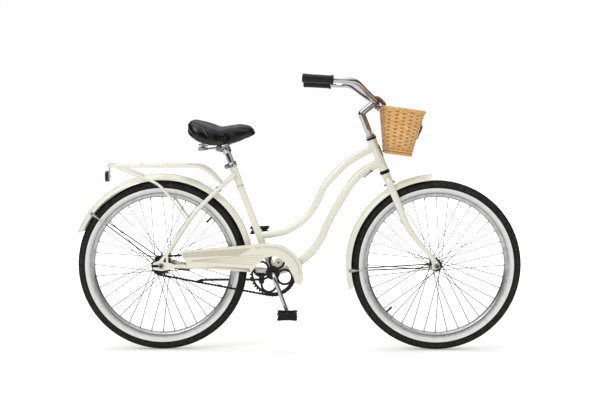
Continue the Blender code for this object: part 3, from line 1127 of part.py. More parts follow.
def chain_guard():
    """Guard plate with an inward lip, held by an arm to the seat tube and one to the chain stay."""
    inside = GUARD_Y + GUARD_T
    plate = prism(GUARD_UPPER + GUARD_INNER, GUARD_Y, inside)
    edge = [Vector(p) for p in GUARD_UPPER]
    edge[0] += 0.004 * (edge[1] - edge[0]).normalized()
    edge[-1] += 0.004 * (edge[-2] - edge[-1]).normalized()
    lip = prism(ribbon(edge, GUARD_T), GUARD_Y + 0.0002, GUARD_Y + GUARD_LIP)
    (x0, z0), (x1, z1) = GUARD_FRONT_ARM
    front = block((x0, inside - 0.0005, z0), (x1, -0.0050, z1))
    (x0, z0), (x1, z1) = GUARD_REAR_ARM
    rear = block((x0, inside - 0.0005, z0), (x1, -0.0480, z1))
    stay = tube(smooth_path(CHAIN_STAY_ROUTE, 8), ((CHAIN_STAY_R + 2 * GAP, CHAIN_STAY_R + 2 * GAP),
                                                   (STAY_END_R + 2 * GAP, STAY_END_R + 2 * GAP)), 12)
    piece("chain_guard", [plate], "cream_paint", "frame",
          [("UNION", [lip]), ("UNION", [front]), ("UNION", [rear]), ("DIFFERENCE", [mirrored(stay)]),
           ("DIFFERENCE", [seat_bar(SEAT_TUBE_R + GAP, 0.05, 0.16)])])


STAND_PLATE = ((-0.1680, -0.0320, 0.2960), (-0.1340, 0.0420, 0.3060))
STAND_ROUTE = ((-0.1540, 0.0000, 0.0000), (-0.2500, 0.0000, 0.0000), (-0.3600, 0.0005, -0.0010),
               (-0.3900, 0.0020, -0.0040), (-0.4060, 0.0080, -0.0110))


def kickstand():
    """Side stand: a plate under the chain stays with a lug, and the leg on its pin."""
    pivot = Vector(STAND_PIVOT)
    axis = Vector((0, -math.cos(STAND_SPLAY), -math.sin(STAND_SPLAY)))
    lug = rod(pivot + 0.0065 * axis, pivot + 0.0230 * axis, 0.0110, 12)
    web = block((pivot.x - 0.008, 0.0290, pivot.z - 0.004), (pivot.x + 0.008, 0.0405, STAND_PLATE[0][2] + 0.002))
    stay = tube(smooth_path(CHAIN_STAY_ROUTE, 8), ((CHAIN_STAY_R + 2 * GAP, CHAIN_STAY_R + 2 * GAP),
                                                   (STAY_END_R + 2 * GAP, STAY_END_R + 2 * GAP)), 12)
    bridge = rod((CHAIN_BRIDGE[0], -0.03, CHAIN_BRIDGE[1]), (CHAIN_BRIDGE[0], 0.03, CHAIN_BRIDGE[1]), BRIDGE_R + 2 * GAP, 12)
    hole = rod(pivot, pivot + 0.04 * axis, 0.0046 / math.cos(math.pi / 12), 12)
    piece("kickstand_bracket", [block(*STAND_PLATE)], "black_steel", "frame",
          [("UNION", [web]), ("UNION", [lug]), ("DIFFERENCE", [hole]), ("DIFFERENCE", both(stay)), ("DIFFERENCE", [bridge])])
    boss = rod(pivot - 0.0062 * axis, pivot + 0.0062 * axis, 0.0105, 12)
    pin = rod(pivot, pivot + 0.0255 * axis, 0.0043, 12)
    route = [Vector((x, pivot.y + y, pivot.z + z)) for x, y, z in STAND_ROUTE]
    leg = tube(route, (STAND_R, STAND_R), 6, up=Vector((0, 0, 1)))
    piece("kickstand_leg", [boss], "black_steel", "kickstand", [("UNION", [pin]), ("UNION", [leg])])


BADGE_S = (0.4750, 0.5230)
BADGE_ANGLE = 34.0
BADGE_T = 0.0016


def head_badge():
    """Plain curved plate on the front of the head tube."""
    low, high = HEAD_R + GAP, HEAD_R + GAP + BADGE_T
    section = arc(0, 0, high, -BADGE_ANGLE, BADGE_ANGLE, 7) + arc(0, 0, low / math.cos(math.radians(4)), BADGE_ANGLE, -BADGE_ANGLE, 7)
    piece("head_badge", [prism(section, *BADGE_S, lambda a, b, c: steer(c, a, b))], "badge_metal", "frame")


chain_guard()
kickstand()
head_badge()
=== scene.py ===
"""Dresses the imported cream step-through bicycle for its studio picture.

Metres, +X forwards, +Y to the rider's left, +Z up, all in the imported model's frame.
"""
import math
from functools import partial

import bpy
import numpy as np
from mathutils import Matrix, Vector

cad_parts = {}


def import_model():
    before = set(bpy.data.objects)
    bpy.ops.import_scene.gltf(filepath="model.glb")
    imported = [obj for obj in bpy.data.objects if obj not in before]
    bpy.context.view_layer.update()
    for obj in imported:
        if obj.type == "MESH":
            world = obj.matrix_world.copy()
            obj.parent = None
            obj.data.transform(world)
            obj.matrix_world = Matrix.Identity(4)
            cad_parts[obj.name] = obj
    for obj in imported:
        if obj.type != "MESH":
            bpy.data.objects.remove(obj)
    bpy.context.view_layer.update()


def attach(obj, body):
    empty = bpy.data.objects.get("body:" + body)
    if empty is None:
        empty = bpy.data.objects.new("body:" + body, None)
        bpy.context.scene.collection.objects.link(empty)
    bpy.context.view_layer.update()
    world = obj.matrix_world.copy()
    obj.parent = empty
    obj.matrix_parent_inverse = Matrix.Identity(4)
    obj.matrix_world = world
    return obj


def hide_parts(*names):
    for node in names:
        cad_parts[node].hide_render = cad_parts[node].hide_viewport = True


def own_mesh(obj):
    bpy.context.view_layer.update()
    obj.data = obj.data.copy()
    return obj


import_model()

# The bicycle's own sizes, as its solids have them
HUB_X, HUB_Z = 0.538, 0.3335
TYRE_R, TYRE_HALF, BEAD_R = 0.3335, 0.027, 0.2795
TYRE_WALL, TREAD_DEPTH, TREAD_SLANT = 0.0035, 0.0011, 0.03
SPOKES_A_SIDE, SPOKE_END_R = 18, 0.269
HEAD_LEAN = math.radians(68.0)
RAKE = 0.0506
SEAT_LEAN = math.radians(69.1)
BB = np.array([-0.1025, 0.0, 0.3058])
FRONT_HUB = np.array([HUB_X, 0.0, HUB_Z])
REAR_HUB = np.array([-HUB_X, 0.0, HUB_Z])
FORWARD = np.array([1.0, 0.0, 0.0])
SIDE = np.array([0.0, 1.0, 0.0])
UP = np.array([0.0, 0.0, 1.0])
STEER_UP = np.array([-math.cos(HEAD_LEAN), 0.0, math.sin(HEAD_LEAN)])
STEER_FWD = np.array([math.sin(HEAD_LEAN), 0.0, math.cos(HEAD_LEAN)])
STEER_FOOT = FRONT_HUB - RAKE * STEER_FWD
SEAT_UP = np.array([-math.cos(SEAT_LEAN), 0.0, math.sin(SEAT_LEAN)])
SEAT_FWD = np.array([math.sin(SEAT_LEAN), 0.0, math.cos(SEAT_LEAN)])
PITCH = 0.0127
RING_TEETH, SPROCKET_TEETH = 44, 18
RING_R = PITCH / (2 * math.sin(math.pi / RING_TEETH))
SPROCKET_R = PITCH / (2 * math.sin(math.pi / SPROCKET_TEETH))
CHAIN_Y = -0.044
CRANK_R, PEDAL_EYE_Y = 0.165, 0.0735
HEAD_LOW, HEAD_HIGH = 0.4222, 0.552
FRONT_FENDER_R, REAR_FENDER_R = 0.355, 0.357
SEAT_BRIDGE, CHAIN_BRIDGE = np.array([-0.3215, 0.0, 0.6262]), np.array([-0.172, 0.0, 0.3135])
SPRING_X, SPRING_Y = -0.376, 0.052
BOTH_SIDES = (("right", -1), ("left", 1))
CRANK_ANGLE = math.radians(-69.4)
CRANK_WAY = np.array([math.cos(CRANK_ANGLE), 0.0, math.sin(CRANK_ANGLE)])


def mm(*rows):
    """Millimetres as metres."""
    return np.array(rows) / 1000


def facing(origin, u_way, v_way, y_way=SIDE):
    """Places (u, v, y): u and v along two ways of a plane through the origin, and y off it."""
    return lambda u, v=0.0, y=0.0: (origin + np.multiply.outer(u, u_way) + np.multiply.outer(v, v_way)
                                    + np.multiply.outer(y, y_way))


# Seen from the side, from above and from the front; up the steering axis and forwards of it; up the seat tube
upright, level, fronting = facing(0, FORWARD, UP), facing(0, FORWARD, SIDE, UP), facing(0, SIDE, UP, FORWARD)
steer, seat = facing(STEER_FOOT, STEER_UP, STEER_FWD), facing(BB, SEAT_UP, SEAT_FWD)


def rect(x0, x1, z0, z1):
    """A rectangle's corners, from millimetres."""
    return mm((x0, z0), (x1, z0), (x1, z1), (x0, z1))


def polar(r, a):
    """The points (r cos a, r sin a)."""
    return np.stack([r * np.cos(a), r * np.sin(a)], -1)


def quarter(way):
    """A way in a plane, or many, turned by 90 degrees: (u, v) becomes (-v, u)."""
    return np.stack([-way[..., 1], way[..., 0]], -1)


# ---- Shapes: each part is (points, [face tables]) ----
def around(count):
    """Even angles round a full turn."""
    return 2 * np.pi * np.arange(count) / count


def unit(v):
    return v / np.linalg.norm(v, axis=-1, keepdims=True)


def grid(points, close_rows=False, close_cols=True, caps=False):
    """Skin over a table of points, rows by columns, with flat ends if asked."""
    rows, cols = points.shape[:2]
    index = np.arange(rows * cols).reshape(rows, cols)
    ends = [index[:1], index[-1:, ::-1]] if caps else []
    if close_rows:
        index = np.vstack([index, index[:1]])
    if close_cols:
        index = np.hstack([index, index[:, :1]])
    quads = np.stack([index[:-1, :-1], index[1:, :-1], index[1:, 1:], index[:-1, 1:]], -1).reshape(-1, 4)
    return points.reshape(-1, 3), [quads] + ends


def volume(part):
    """Six times the volume that a part's faces enclose; negative when they point inwards."""
    points, tables = part
    total = 0.0
    for f in tables:
        for k in range(1, f.shape[1] - 1):
            total += np.sum(points[f[:, 0]] * np.cross(points[f[:, k]], points[f[:, k + 1]]))
    return total


def outward(part):
    """The closed part with its faces pointing out."""
    points, tables = part
    return part if volume(part) > 0 else (points, [f[:, ::-1] for f in tables])


def gather(*parts):
    """One part of several."""
    points, tables, start = [], [], 0
    for p, fs in parts:
        points.append(p)
        tables += [f + start for f in fs]
        start += len(p)
    return np.vstack(points), tables


def across(part):
    """The part mirrored in the middle plane."""
    points, tables = part
    return points * [1, -1, 1], [f[:, ::-1] for f in tables]


def both(part):
    return gather(part, across(part))


def repeated(tables, count, size):
    """The face tables of one part for many copies of it, each of so many points."""
    shift = (np.arange(count) * size)[:, None, None]
    return [(f[None] + shift).reshape(-1, f.shape[1]) for f in tables]


def copies(part, places, turns):
    """Copies of a part: each point p becomes T p + c, for every turn T and place c."""
    points, tables = part
    many = np.einsum("nij,pj->npi", np.asarray(turns), points) + np.asarray(places)[:, None, :]
    return many.reshape(-1, 3), repeated(tables, len(places), len(points))


def frames(along, up):
    """Turns whose columns are the way along, its side and its lift."""
    along = unit(np.asarray(along, float))
    side = unit(np.cross(np.broadcast_to(up, along.shape), along))
    return np.stack([along, side, np.cross(along, side)], -1)


def spaced(line, count, closed=False):
    """Even points along a line of points; a closed line's last point is its first one again and is left off."""
    way = np.concatenate([[0], np.cumsum(np.linalg.norm(np.diff(line, axis=0), axis=1))])
    even = np.linspace(0, way[-1], count, endpoint=not closed)
    return np.stack([np.interp(even, way, line[:, k]) for k in range(line.shape[1])], -1)


def flow(points, count):
    """Even points on a Catmull-Rom curve: 0.5 (2b + (c-a)t + (2a-5b+4c-d)t2 + (3b-a-3c+d)t3) on each span."""
    p = np.asarray(points, float)
    p = np.vstack([2 * p[0] - p[1], p, 2 * p[-1] - p[-2]])
    t = np.linspace(0, 1, 24, endpoint=False)[None, :, None]
    a, b, c, d = (p[i:len(p) - 3 + i, None] for i in range(4))
    line = 0.5 * (2 * b + (c - a) * t + (2 * a - 5 * b + 4 * c - d) * t ** 2 + (3 * b - a - 3 * c + d) * t ** 3)
    line = np.vstack([line.reshape(-1, p.shape[1]), p[-2:-1]])
    return spaced(line, count)


def sweep(path, radius, sides=24, up=SIDE, dome=False, closed=False):
    """Tube along a path: each ring is r (cos a side + sin a lift), side and lift square to the path.

    A dome rounds each end: rings of r cos t, moved on by r sin t.
    """
    path = np.asarray(path, float)
    if closed:
        along = unit(np.roll(path, -1, 0) - np.roll(path, 1, 0))
    else:
        along = unit(np.gradient(path, axis=0))
    r = np.asarray(radius, float)
    r = np.broadcast_to(r if r.ndim == 2 else r.reshape(-1, 1), (len(path), 2))
    if dome:
        tilt = np.radians([86.0, 62.0, 34.0])
        first = path[0] - np.outer(np.sin(tilt), along[0]) * r[0].min()
        last = path[-1] + np.outer(np.sin(tilt[::-1]), along[-1]) * r[-1].min()
        path = np.vstack([first, path, last])
        along = np.vstack([np.repeat(along[:1], 3, 0), along, np.repeat(along[-1:], 3, 0)])
        r = np.vstack([r[0] * np.cos(tilt)[:, None], r, r[-1] * np.cos(tilt[::-1])[:, None]])
    lift = unit(np.asarray(up, float) - np.sum(np.asarray(up) * along, -1, keepdims=True) * along)
    side = np.cross(lift, along)
    a = around(sides)
    rings = (path[:, None] + r[:, :1, None] * np.cos(a)[None, :, None] * side[:, None]
             + r[:, 1:, None] * np.sin(a)[None, :, None] * lift[:, None])
    return outward(grid(rings, close_rows=closed, caps=not closed))


def wires(starts, ends, radius, sides=8):
    """Straight round bars between many pairs of points at once."""
    starts, ends = np.atleast_2d(starts).astype(float), np.atleast_2d(ends).astype(float)
    ways = ends - starts
    up = np.where(np.abs(unit(ways)[:, 1:2]) < 0.9, SIDE, UP)
    side = unit(np.cross(up, ways))
    lift = unit(np.cross(ways, side))
    a = around(sides)
    ring = radius * (np.cos(a)[None, :, None] * side[:, None] + np.sin(a)[None, :, None] * lift[:, None])
    table = np.stack([starts[:, None] + ring, ends[:, None] + ring], 1)
    return outward((table.reshape(-1, 3), repeated(grid(table[0], caps=True)[1], len(starts), 2 * sides)))


def folded(half, skip=0):
    """A profile and its mirror: (r, h) down the half, and (r, -h) back up it."""
    return np.vstack([half, half[::-1][skip:] * (1, -1)])


def turned(profile, centre, axis=SIDE, steps=48, ring=False):
    """Lathe work: (r, h) of the profile becomes centre + h axis + r (cos a u + sin a v)."""
    axis = unit(np.asarray(axis, float))
    start = UP if abs(axis[2]) < 0.9 else np.array([1.0, 0.0, 0.0])
    u = unit(np.cross(start, axis))
    v = np.cross(axis, u)
    profile = np.asarray(profile, float)
    a = around(steps)
    out = np.cos(a)[:, None] * u + np.sin(a)[:, None] * v
    table = np.asarray(centre) + profile[:, None, 1:] * axis + profile[:, None, :1] * out[None]
    return outward(grid(table, close_rows=ring, caps=not ring))


def eased(outline, radius, closed=True, steps=3):
    """Corners c made round: (1-t)2 a + 2t(1-t) c + t2 b, where a and b lie a radius before and after c."""
    p = np.asarray(outline, float)
    before, after = np.roll(p, 1, 0) - p, np.roll(p, -1, 0) - p
    cut = [np.minimum(radius, np.linalg.norm(w, axis=1) * 0.42)[:, None] for w in (before, after)]
    a = p + unit(before + 1e-12) * cut[0]
    b = p + unit(after + 1e-12) * cut[1]
    t = np.linspace(0, 1, steps + 1)[None, :, None]
    curve = (1 - t) ** 2 * a[:, None] + 2 * t * (1 - t) * p[:, None] + t ** 2 * b[:, None]
    if not closed:
        return np.vstack([p[:1], curve[1:-1].reshape(-1, p.shape[1]), p[-1:]])
    return curve.reshape(-1, p.shape[1])


def inset(outline, amount):
    """Closed (x, z) outline moved inwards along its corner normals."""
    p = np.asarray(outline, float)
    step = np.roll(p, -1, 0) - np.roll(p, 1, 0)
    normal = unit(-quarter(step))
    x, z = p.T
    area = np.sum(x * np.roll(z, -1) - z * np.roll(x, -1))
    return p - np.sign(area) * amount * normal


def slab(outline, low, high, ease=0.0004, place=upright):
    """Plate: its outline carried from low to high, with an eased edge on both faces."""
    outline = np.asarray(outline, float)
    small = inset(outline, ease)
    rows = [(small, low), (outline, low + ease), (outline, high - ease), (small, high)]
    return outward(grid(np.stack([place(*line.T, y) for line, y in rows]), caps=True))


def washer(outer, inner, low, high, ease=0.0004, place=upright):
    """Plate with a hole: outer and inner outlines of equal count, eased on every edge."""
    outer, inner = np.asarray(outer, float), np.asarray(inner, float)
    o, i = inset(outer, ease), inset(inner, -ease)
    rows = [(o, low), (outer, low + ease), (outer, high - ease), (o, high), (i, high), (inner, high - ease),
            (inner, low + ease), (i, low)]
    return outward(grid(np.stack([place(*line.T, y) for line, y in rows]), close_rows=True))


def circle(centre, radius, count=32):
    return centre + polar(radius, around(count))


def xz(point):
    return np.array([point[0], point[2]])


def hex_bolt(centre, axis, radius, height):
    """Domed hexagon head: six flats that draw in to a crown."""
    centre, axis = np.asarray(centre, float), unit(np.asarray(axis, float))
    rows = [(radius, 0.0), (radius, 0.75 * height), (0.86 * radius, height), (0.3 * radius, height)]
    return turned(rows, centre, axis, 6)


def stand(name, data):
    """Adds an object to the scene."""
    added = bpy.data.objects.new(name, data)
    bpy.context.collection.objects.link(added)
    return added


def smooth(mesh, sharp=None):
    """Smooth shading, with edges over an angle in degrees left sharp."""
    mesh.polygons.foreach_set("use_smooth", np.ones(len(mesh.polygons), bool))
    if sharp is not None:
        mesh.set_sharp_from_angle(angle=math.radians(sharp))


def put(name, part, body, finish, nodes=(), sharp=35.0, index=None, shade=None):
    """Makes the piece's mesh and finish, hangs it on the body it rides on and hides the solids it stands for."""
    points, tables = part
    mesh = bpy.data.meshes.new(name)
    sizes = np.concatenate([np.full(len(f), f.shape[1], np.int32) for f in tables])
    corners = np.concatenate([f.reshape(-1) for f in tables]).astype(np.int32)
    mesh.vertices.add(len(points))
    mesh.vertices.foreach_set("co", np.ascontiguousarray(points, np.float32).ravel())
    mesh.loops.add(len(corners))
    mesh.loops.foreach_set("vertex_index", corners)
    mesh.polygons.add(len(sizes))
    mesh.polygons.foreach_set("loop_start", np.concatenate([[0], np.cumsum(sizes)[:-1]]).astype(np.int32))
    mesh.polygons.foreach_set("loop_total", sizes)
    if index is not None:
        mesh.polygons.foreach_set("material_index", np.asarray(index, np.int32))
    mesh.update(calc_edges=True)
    mesh.validate()
    smooth(mesh, sharp)
    finishes = [finish] if isinstance(finish, str) else finish
    for one in finishes:
        mesh.materials.append(material(one))
    if shade is not None:
        mesh.attributes.new("shade", "FLOAT", "POINT").data.foreach_set("value", np.asarray(shade, np.float32))
    piece = stand(name, mesh)
    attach(piece, body)
    if nodes:
        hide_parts(*([nodes] if isinstance(nodes, str) else nodes))
    return piece


# ---- Finishes ----
def linear(code):
    """Linear colour of an sRGB hex code: c/12.92 up to 0.04045, else ((c + 0.055)/1.055) to the power 2.4."""
    c = np.array([int(code[i:i + 2], 16) for i in (0, 2, 4)]) / 255
    return (*np.where(c <= 0.04045, c / 12.92, ((c + 0.055) / 1.055) ** 2.4).tolist(), 1.0)


def add(tree, kind, sockets=(), **settings):
    """Adds a node with its settings and gives its outputs.

    Sockets are a list in order, or named or numbered; each takes a value, or the output that feeds it.
    """
    node = tree.nodes.new("ShaderNode" + kind)
    for key, value in settings.items():
        setattr(node, key, value)
    for key, value in sockets.items() if isinstance(sockets, dict) else enumerate(sockets):
        if isinstance(value, bpy.types.NodeSocket):
            tree.links.new(value, node.inputs[key])
        else:
            node.inputs[key].default_value = value
    return node.outputs


class Coated:
    """A Principled material: two tones and two roughnesses mixed by one noise, and relief from a finer one.

    Mottle and grain are the two noises' sizes and lift is the relief's height, in millimetres.
    """

    def __init__(self, name, tones, mottle, rough, grain, lift, **fixed):
        made = bpy.data.materials.new(name)
        made.use_nodes = True
        self.tree = made.node_tree
        self.add = partial(add, self.tree)
        self.shader = self.tree.nodes["Principled BSDF"]
        self.place = self.add("TexCoord")["Object"]
        self.tone, self.normal = linear(tones[0]), None
        cloud = self.add("TexNoise", {"Vector": self.place, "Scale": 1000 / mottle, "Detail": 3.0})[0]
        self.cloud = self.add("MapRange", [cloud, 0.34, 0.66])[0]
        self.tint(self.cloud, tones[1])
        self.feed("Roughness", self.add("MapRange", {0: self.cloud, 3: rough[0], 4: rough[1]})[0])
        self.emboss(self.add("TexNoise", {"Vector": self.place, "Scale": 1000 / grain, "Detail": 2.0})[0], lift)
        for key, value in fixed.items():
            self.shader.inputs[key.replace("_", " ")].default_value = value

    def feed(self, socket, output):
        self.tree.links.new(output, self.shader.inputs[socket])

    def tint(self, share, code, most=1.0):
        """Lays another tone over the colour by its share of the most."""
        if most < 1:
            share = self.add("Math", [share, most], operation="MULTIPLY")[0]
        self.tone = self.add("Mix", {0: share, 6: self.tone, 7: linear(code)}, data_type="RGBA")[2]
        self.feed("Base Color", self.tone)

    def emboss(self, height, lift):
        """Adds relief of the given millimetres on top of what was there before."""
        under = {"Normal": self.normal} if self.normal else {}
        self.normal = self.add("Bump", {"Height": height, "Distance": lift / 1000, **under})[0]
        self.feed("Normal", self.normal)

    def wheel_radius(self):
        """Distance from the nearer hub in the side view: root((|x| - hub x) squared + (z - hub z) squared)."""
        x, _, z = self.add("SeparateXYZ", [self.place])
        x = self.add("Math", [self.add("Math", [x], operation="ABSOLUTE")[0], HUB_X], operation="SUBTRACT")[0]
        z = self.add("Math", [z, HUB_Z], operation="SUBTRACT")[0]
        return self.add("Math", [self.add("Math", [self.add("Math", [x, x], operation="MULTIPLY")[0],
                                                   self.add("Math", [z, z], operation="MULTIPLY")[0]],
                                          operation="ADD")[0]], operation="SQRT")[0]


FINISHES, SLOTS = {}, {}


def in_slot(slot):
    """Files a maker of a material under its own name, and keeps the slot name given with it."""
    def file(maker):
        FINISHES[maker.__name__], SLOTS[maker.__name__] = maker, slot
        return maker
    return file


@in_slot("cream_paint")
def cream_enamel(name):
    # Stove enamel on steel tube: a thick glossy cream coat with a faint orange peel of 3 mm and hardly any mottle
    made = Coated(name, ("F5F5E5", "F2F1DF"), 90, (0.22, 0.29), 3, 0.03, Coat_Weight=0.75, Coat_Roughness=0.07,
                  IOR=1.5)
    # Road dust gathers on the low parts as a dull warm film, in patches of 25 mm
    darkening = made.add("TexNoise", {"Vector": made.place, "Scale": 1000 / 25, "Detail": 4.0})[0]
    low = made.add("MapRange", [made.add("SeparateXYZ", [made.place])[2], 0.5, 0.12])[0]
    made.tint(made.add("Math", [darkening, low], operation="MULTIPLY")[0], "C9BF9C", 0.16)


@in_slot("cream_paint")
def guard_enamel(name):
    # The same enamel on pressed sheet, a shade warmer, with the press's shallow 12 mm waves
    made = Coated(name, ("F4F0DF", "F0EBD8"), 80, (0.26, 0.34), 12, 0.12, Coat_Weight=0.65, Coat_Roughness=0.09,
                  IOR=1.5)
    made.emboss(made.add("TexNoise", {"Vector": made.place, "Scale": 330.0})[0], 0.03)


@in_slot("cream_paint")
def transfer_panel(name):
    # Screen-printed transfer in warm grey, on the guard and round the seat tube: slanted 4 mm hatching under lacquer
    made = Coated(name, ("E4DFCC", "DCD6C2"), 30, (0.3, 0.38), 2, 0.02, Coat_Weight=0.5, Coat_Roughness=0.1,
                  IOR=1.5)
    x, _, z = made.add("SeparateXYZ", [made.place])
    slant = made.add("Math", [x, made.add("Math", [z, 0.55], operation="MULTIPLY")[0]], operation="ADD")[0]
    line = made.add("Math", [made.add("Math", [slant, 2 * math.pi / 0.004], operation="MULTIPLY")[0]],
                    operation="SINE")[0]
    made.tint(made.add("MapRange", [line, -0.2, 0.4])[0], "BFB79B")


@in_slot("cream_paint")
def transfer_stripe(name):
    # The transfer's coach lines: one grey-brown ink, thinner in places
    Coated(name, ("B3AA8E", "A59B7E"), 6, (0.32, 0.42), 2, 0.02, Coat_Weight=0.5, Coat_Roughness=0.1, IOR=1.5)


@in_slot("chrome")
def chrome(name):
    # Chrome plate over nickel: mirror bright and a touch blue, with the polished steel's 5 mm ripples
    Coated(name, ("D8DADC", "C4C7CA"), 30, (0.04, 0.1), 5, 0.02, Metallic=1.0)


@in_slot("spoke_steel")
def zinc_plate(name):
    # Zinc-plated nuts, screws and clips: duller and greyer than chrome, spangled over 3 mm
    Coated(name, ("B7B9BA", "9A9C9E"), 3, (0.28, 0.42), 1, 0.03, Metallic=1.0)


@in_slot("alloy")
def spun_alloy(name):
    # Anodised aluminium rim, spun on a lathe: satin, with turning marks every 0.8 mm, drawn coarse to show
    made = Coated(name, ("CFCFD0", "B9BABC"), 20, (0.24, 0.36), 4, 0.02, Metallic=1.0)
    marks = made.add("Math", [made.add("Math", [made.wheel_radius(), 2 * math.pi / 0.0008],
                                       operation="MULTIPLY")[0]], operation="SINE")[0]
    made.emboss(marks, 0.02)


@in_slot("spoke_steel")
def drawn_steel(name):
    # Steel wire and rod drawn through a die: a slight haze in 8 mm lengths, and a dark grey that is painted shade
    Coated(name, ("58595B", "3C3E40"), 8, (0.16, 0.28), 3, 0.02, Metallic=1.0)


@in_slot("black_steel")
def dark_steel(name):
    # Blackened hub and stay steel: a deep grey oxide with thin oil, worn lighter in 6 mm patches
    # The headset's chrome cups take it too, as a painted dark reflection
    Coated(name, ("1A1B1C", "333436"), 6, (0.3, 0.45), 1.5, 0.03, Metallic=0.75)


@in_slot("spoke_steel")
def stay_wire(name):
    # Zinc-plated stay wire: bright over the tyre and the fender, a dark grey inside the rim's circle in the side view
    made = Coated(name, ("C9CBCC", "AEB1B3"), 6, (0.26, 0.4), 1.5, 0.03, Metallic=0.6)
    inside_rim = made.add("MapRange", [made.wheel_radius(), 0.278, 0.264])[0]
    made.tint(inside_rim, "1C1D1E")


@in_slot("black_steel")
def oiled_chain(name):
    # Blued chain plates in old oil: nearly black and wet in places, grey where they rub
    Coated(name, ("070708", "1E1E1F"), 4, (0.22, 0.5), 1.2, 0.03, Metallic=0.4, Coat_Weight=0.15,
           Coat_Roughness=0.18, Specular_IOR_Level=0.3)


@in_slot("black_steel")
def black_enamel(name):
    # Gloss black enamel on pressed steel, with a fine peel and a few dull rubs
    Coated(name, ("060607", "0D0D0F"), 18, (0.22, 0.36), 2.5, 0.03, Coat_Weight=0.15, Coat_Roughness=0.08, IOR=1.5,
           Specular_IOR_Level=0.3)


@in_slot("tyre_rubber")
def tread_rubber(name):
    # Vulcanised black tread: matt, with moulding vents' 1.5 mm roughness and grey dust from the road
    made = Coated(name, ("0E0E0E", "171716"), 12, (0.7, 0.88), 1.5, 0.1, IOR=1.52, Specular_IOR_Level=0.22)
    made.tint(made.cloud, "33312E", 0.18)
    # The tread's sides go grey in 9 mm patches: partly road dust, partly a painted sheen.
    # The crown and the inner edge stay black.
    radius = made.wheel_radius()
    crown = made.add("Math", [made.add("MapRange", [radius, 0.308, 0.312])[0],
                              made.add("MapRange", [radius, 0.3275, 0.3235])[0]], operation="MULTIPLY")[0]
    dust_and_sheen = made.add("TexNoise", {"Vector": made.place, "Scale": 110.0, "Detail": 2.0})[0]
    patches = made.add("MapRange", [dust_and_sheen, 0.38, 0.62])[0]
    made.tint(made.add("Math", [crown, patches], operation="MULTIPLY")[0], "3E3E3B", 0.55)


@in_slot("tyre_rubber")
def whitewall_rubber(name):
    # Pale sidewall rubber: a dull grey white with fine moulded rings every 3 mm
    made = Coated(name, ("F3F3F0", "EAEAE6"), 20, (0.42, 0.58), 2, 0.04, IOR=1.52)
    radius = made.wheel_radius()
    rings = made.add("Math", [made.add("Math", [radius, 2 * math.pi / 0.003], operation="MULTIPLY")[0]],
                     operation="SINE")[0]
    made.emboss(rings, 0.12)
    # Painted shade: the sidewall greys towards the rim, in the hollow by it, and stays white out by the tread
    darkening = made.add("MapRange", [radius, 0.296, 0.284])[0]
    made.tint(darkening, "B4B4B0", 0.4)


@in_slot("soft_rubber")
def grip_rubber(name):
    # Moulded soft PVC: black with a fine 1 mm stipple and a low sheen where palms polish it
    Coated(name, ("0B0B0B", "151515"), 15, (0.38, 0.54), 1, 0.08, IOR=1.5, Specular_IOR_Level=0.35)


@in_slot("black_vinyl")
def saddle_vinyl(name):
    # Black upholstery vinyl: pebbled leather grain, cells 1.6 mm across, glossy where it is stretched
    made = Coated(name, ("020203", "070708"), 30, (0.2, 0.28), 3, 0.04, Coat_Weight=0.25, Coat_Roughness=0.2,
                  IOR=1.48)
    cells = made.add("TexVoronoi", {"Vector": made.place, "Scale": 620.0}, feature="DISTANCE_TO_EDGE")[0]
    made.emboss(made.add("MapRange", [cells, 0.0, 0.25])[0], 0.06)


@in_slot("black_vinyl")
def quilted_vinyl(name):
    # The saddle's top panel: the same black vinyl with a coarser 2.4 mm grain, in a lighter charcoal that is painted
    # light
    made = Coated(name, ("36363A", "4C4C51"), 20, (0.34, 0.48), 3, 0.06, IOR=1.47, Specular_IOR_Level=0.4)
    cells = made.add("TexVoronoi", {"Vector": made.place, "Scale": 420.0}, feature="DISTANCE_TO_EDGE")[0]
    made.emboss(made.add("MapRange", [cells, 0.0, 0.25])[0], 0.12)


@in_slot("black_vinyl")
def waxed_thread(name):
    # Waxed polyester thread of the saddle's side seams: grey, with a 3 mm change of tone
    Coated(name, ("6C6C6E", "868688"), 3, (0.55, 0.7), 0.6, 0.08)


@in_slot("wicker")
def woven_cane(name):
    # Peeled willow cane: honey brown under a thin varnish; each cane has its own tone, fibres run in 1 mm streaks
    made = Coated(name, ("FFD68E", "F8BE6E"), 12, (0.32, 0.5), 1, 0.12, Coat_Weight=0.18, Coat_Roughness=0.3,
                  IOR=1.5)
    # The shade attribute carries each cane's own tone, and painted shade at the back and behind the stakes
    shade = made.add("Attribute", attribute_name="shade")["Fac"]
    made.tint(shade, "743A10")
    streak = made.add("TexNoise", {"Vector": made.place, "Scale": 900.0, "Detail": 2.0})[0]
    dark = made.add("MapRange", [streak, 0.56, 0.72])[0]
    made.tint(dark, "8A5420", 0.22)


@in_slot("leather")
def bridle_leather(name):
    # Vegetable-tanned strap leather: red brown, waxed, with a 1.2 mm pore grain and darker handled patches
    made = Coated(name, ("8A3F22", "6B2C17"), 10, (0.36, 0.52), 1.2, 0.08, Coat_Weight=0.15, Coat_Roughness=0.3,
                  IOR=1.5)
    cells = made.add("TexVoronoi", {"Vector": made.place, "Scale": 800.0}, feature="DISTANCE_TO_EDGE")[0]
    made.emboss(made.add("MapRange", [cells, 0.0, 0.2])[0], 0.1)


@in_slot("leather")
def cream_thread(name):
    # Cream linen thread that sews the strap's edge
    Coated(name, ("D9C8A2", "C6B189"), 2, (0.6, 0.75), 0.5, 0.06)


@in_slot("black_plastic")
def moulded_black(name):
    # Moulded ABS, black, with a fine spark-eroded texture of 0.8 mm and paler scuffs
    Coated(name, ("0A0A0B", "171718"), 10, (0.42, 0.6), 0.8, 0.06, IOR=1.5, Specular_IOR_Level=0.3)


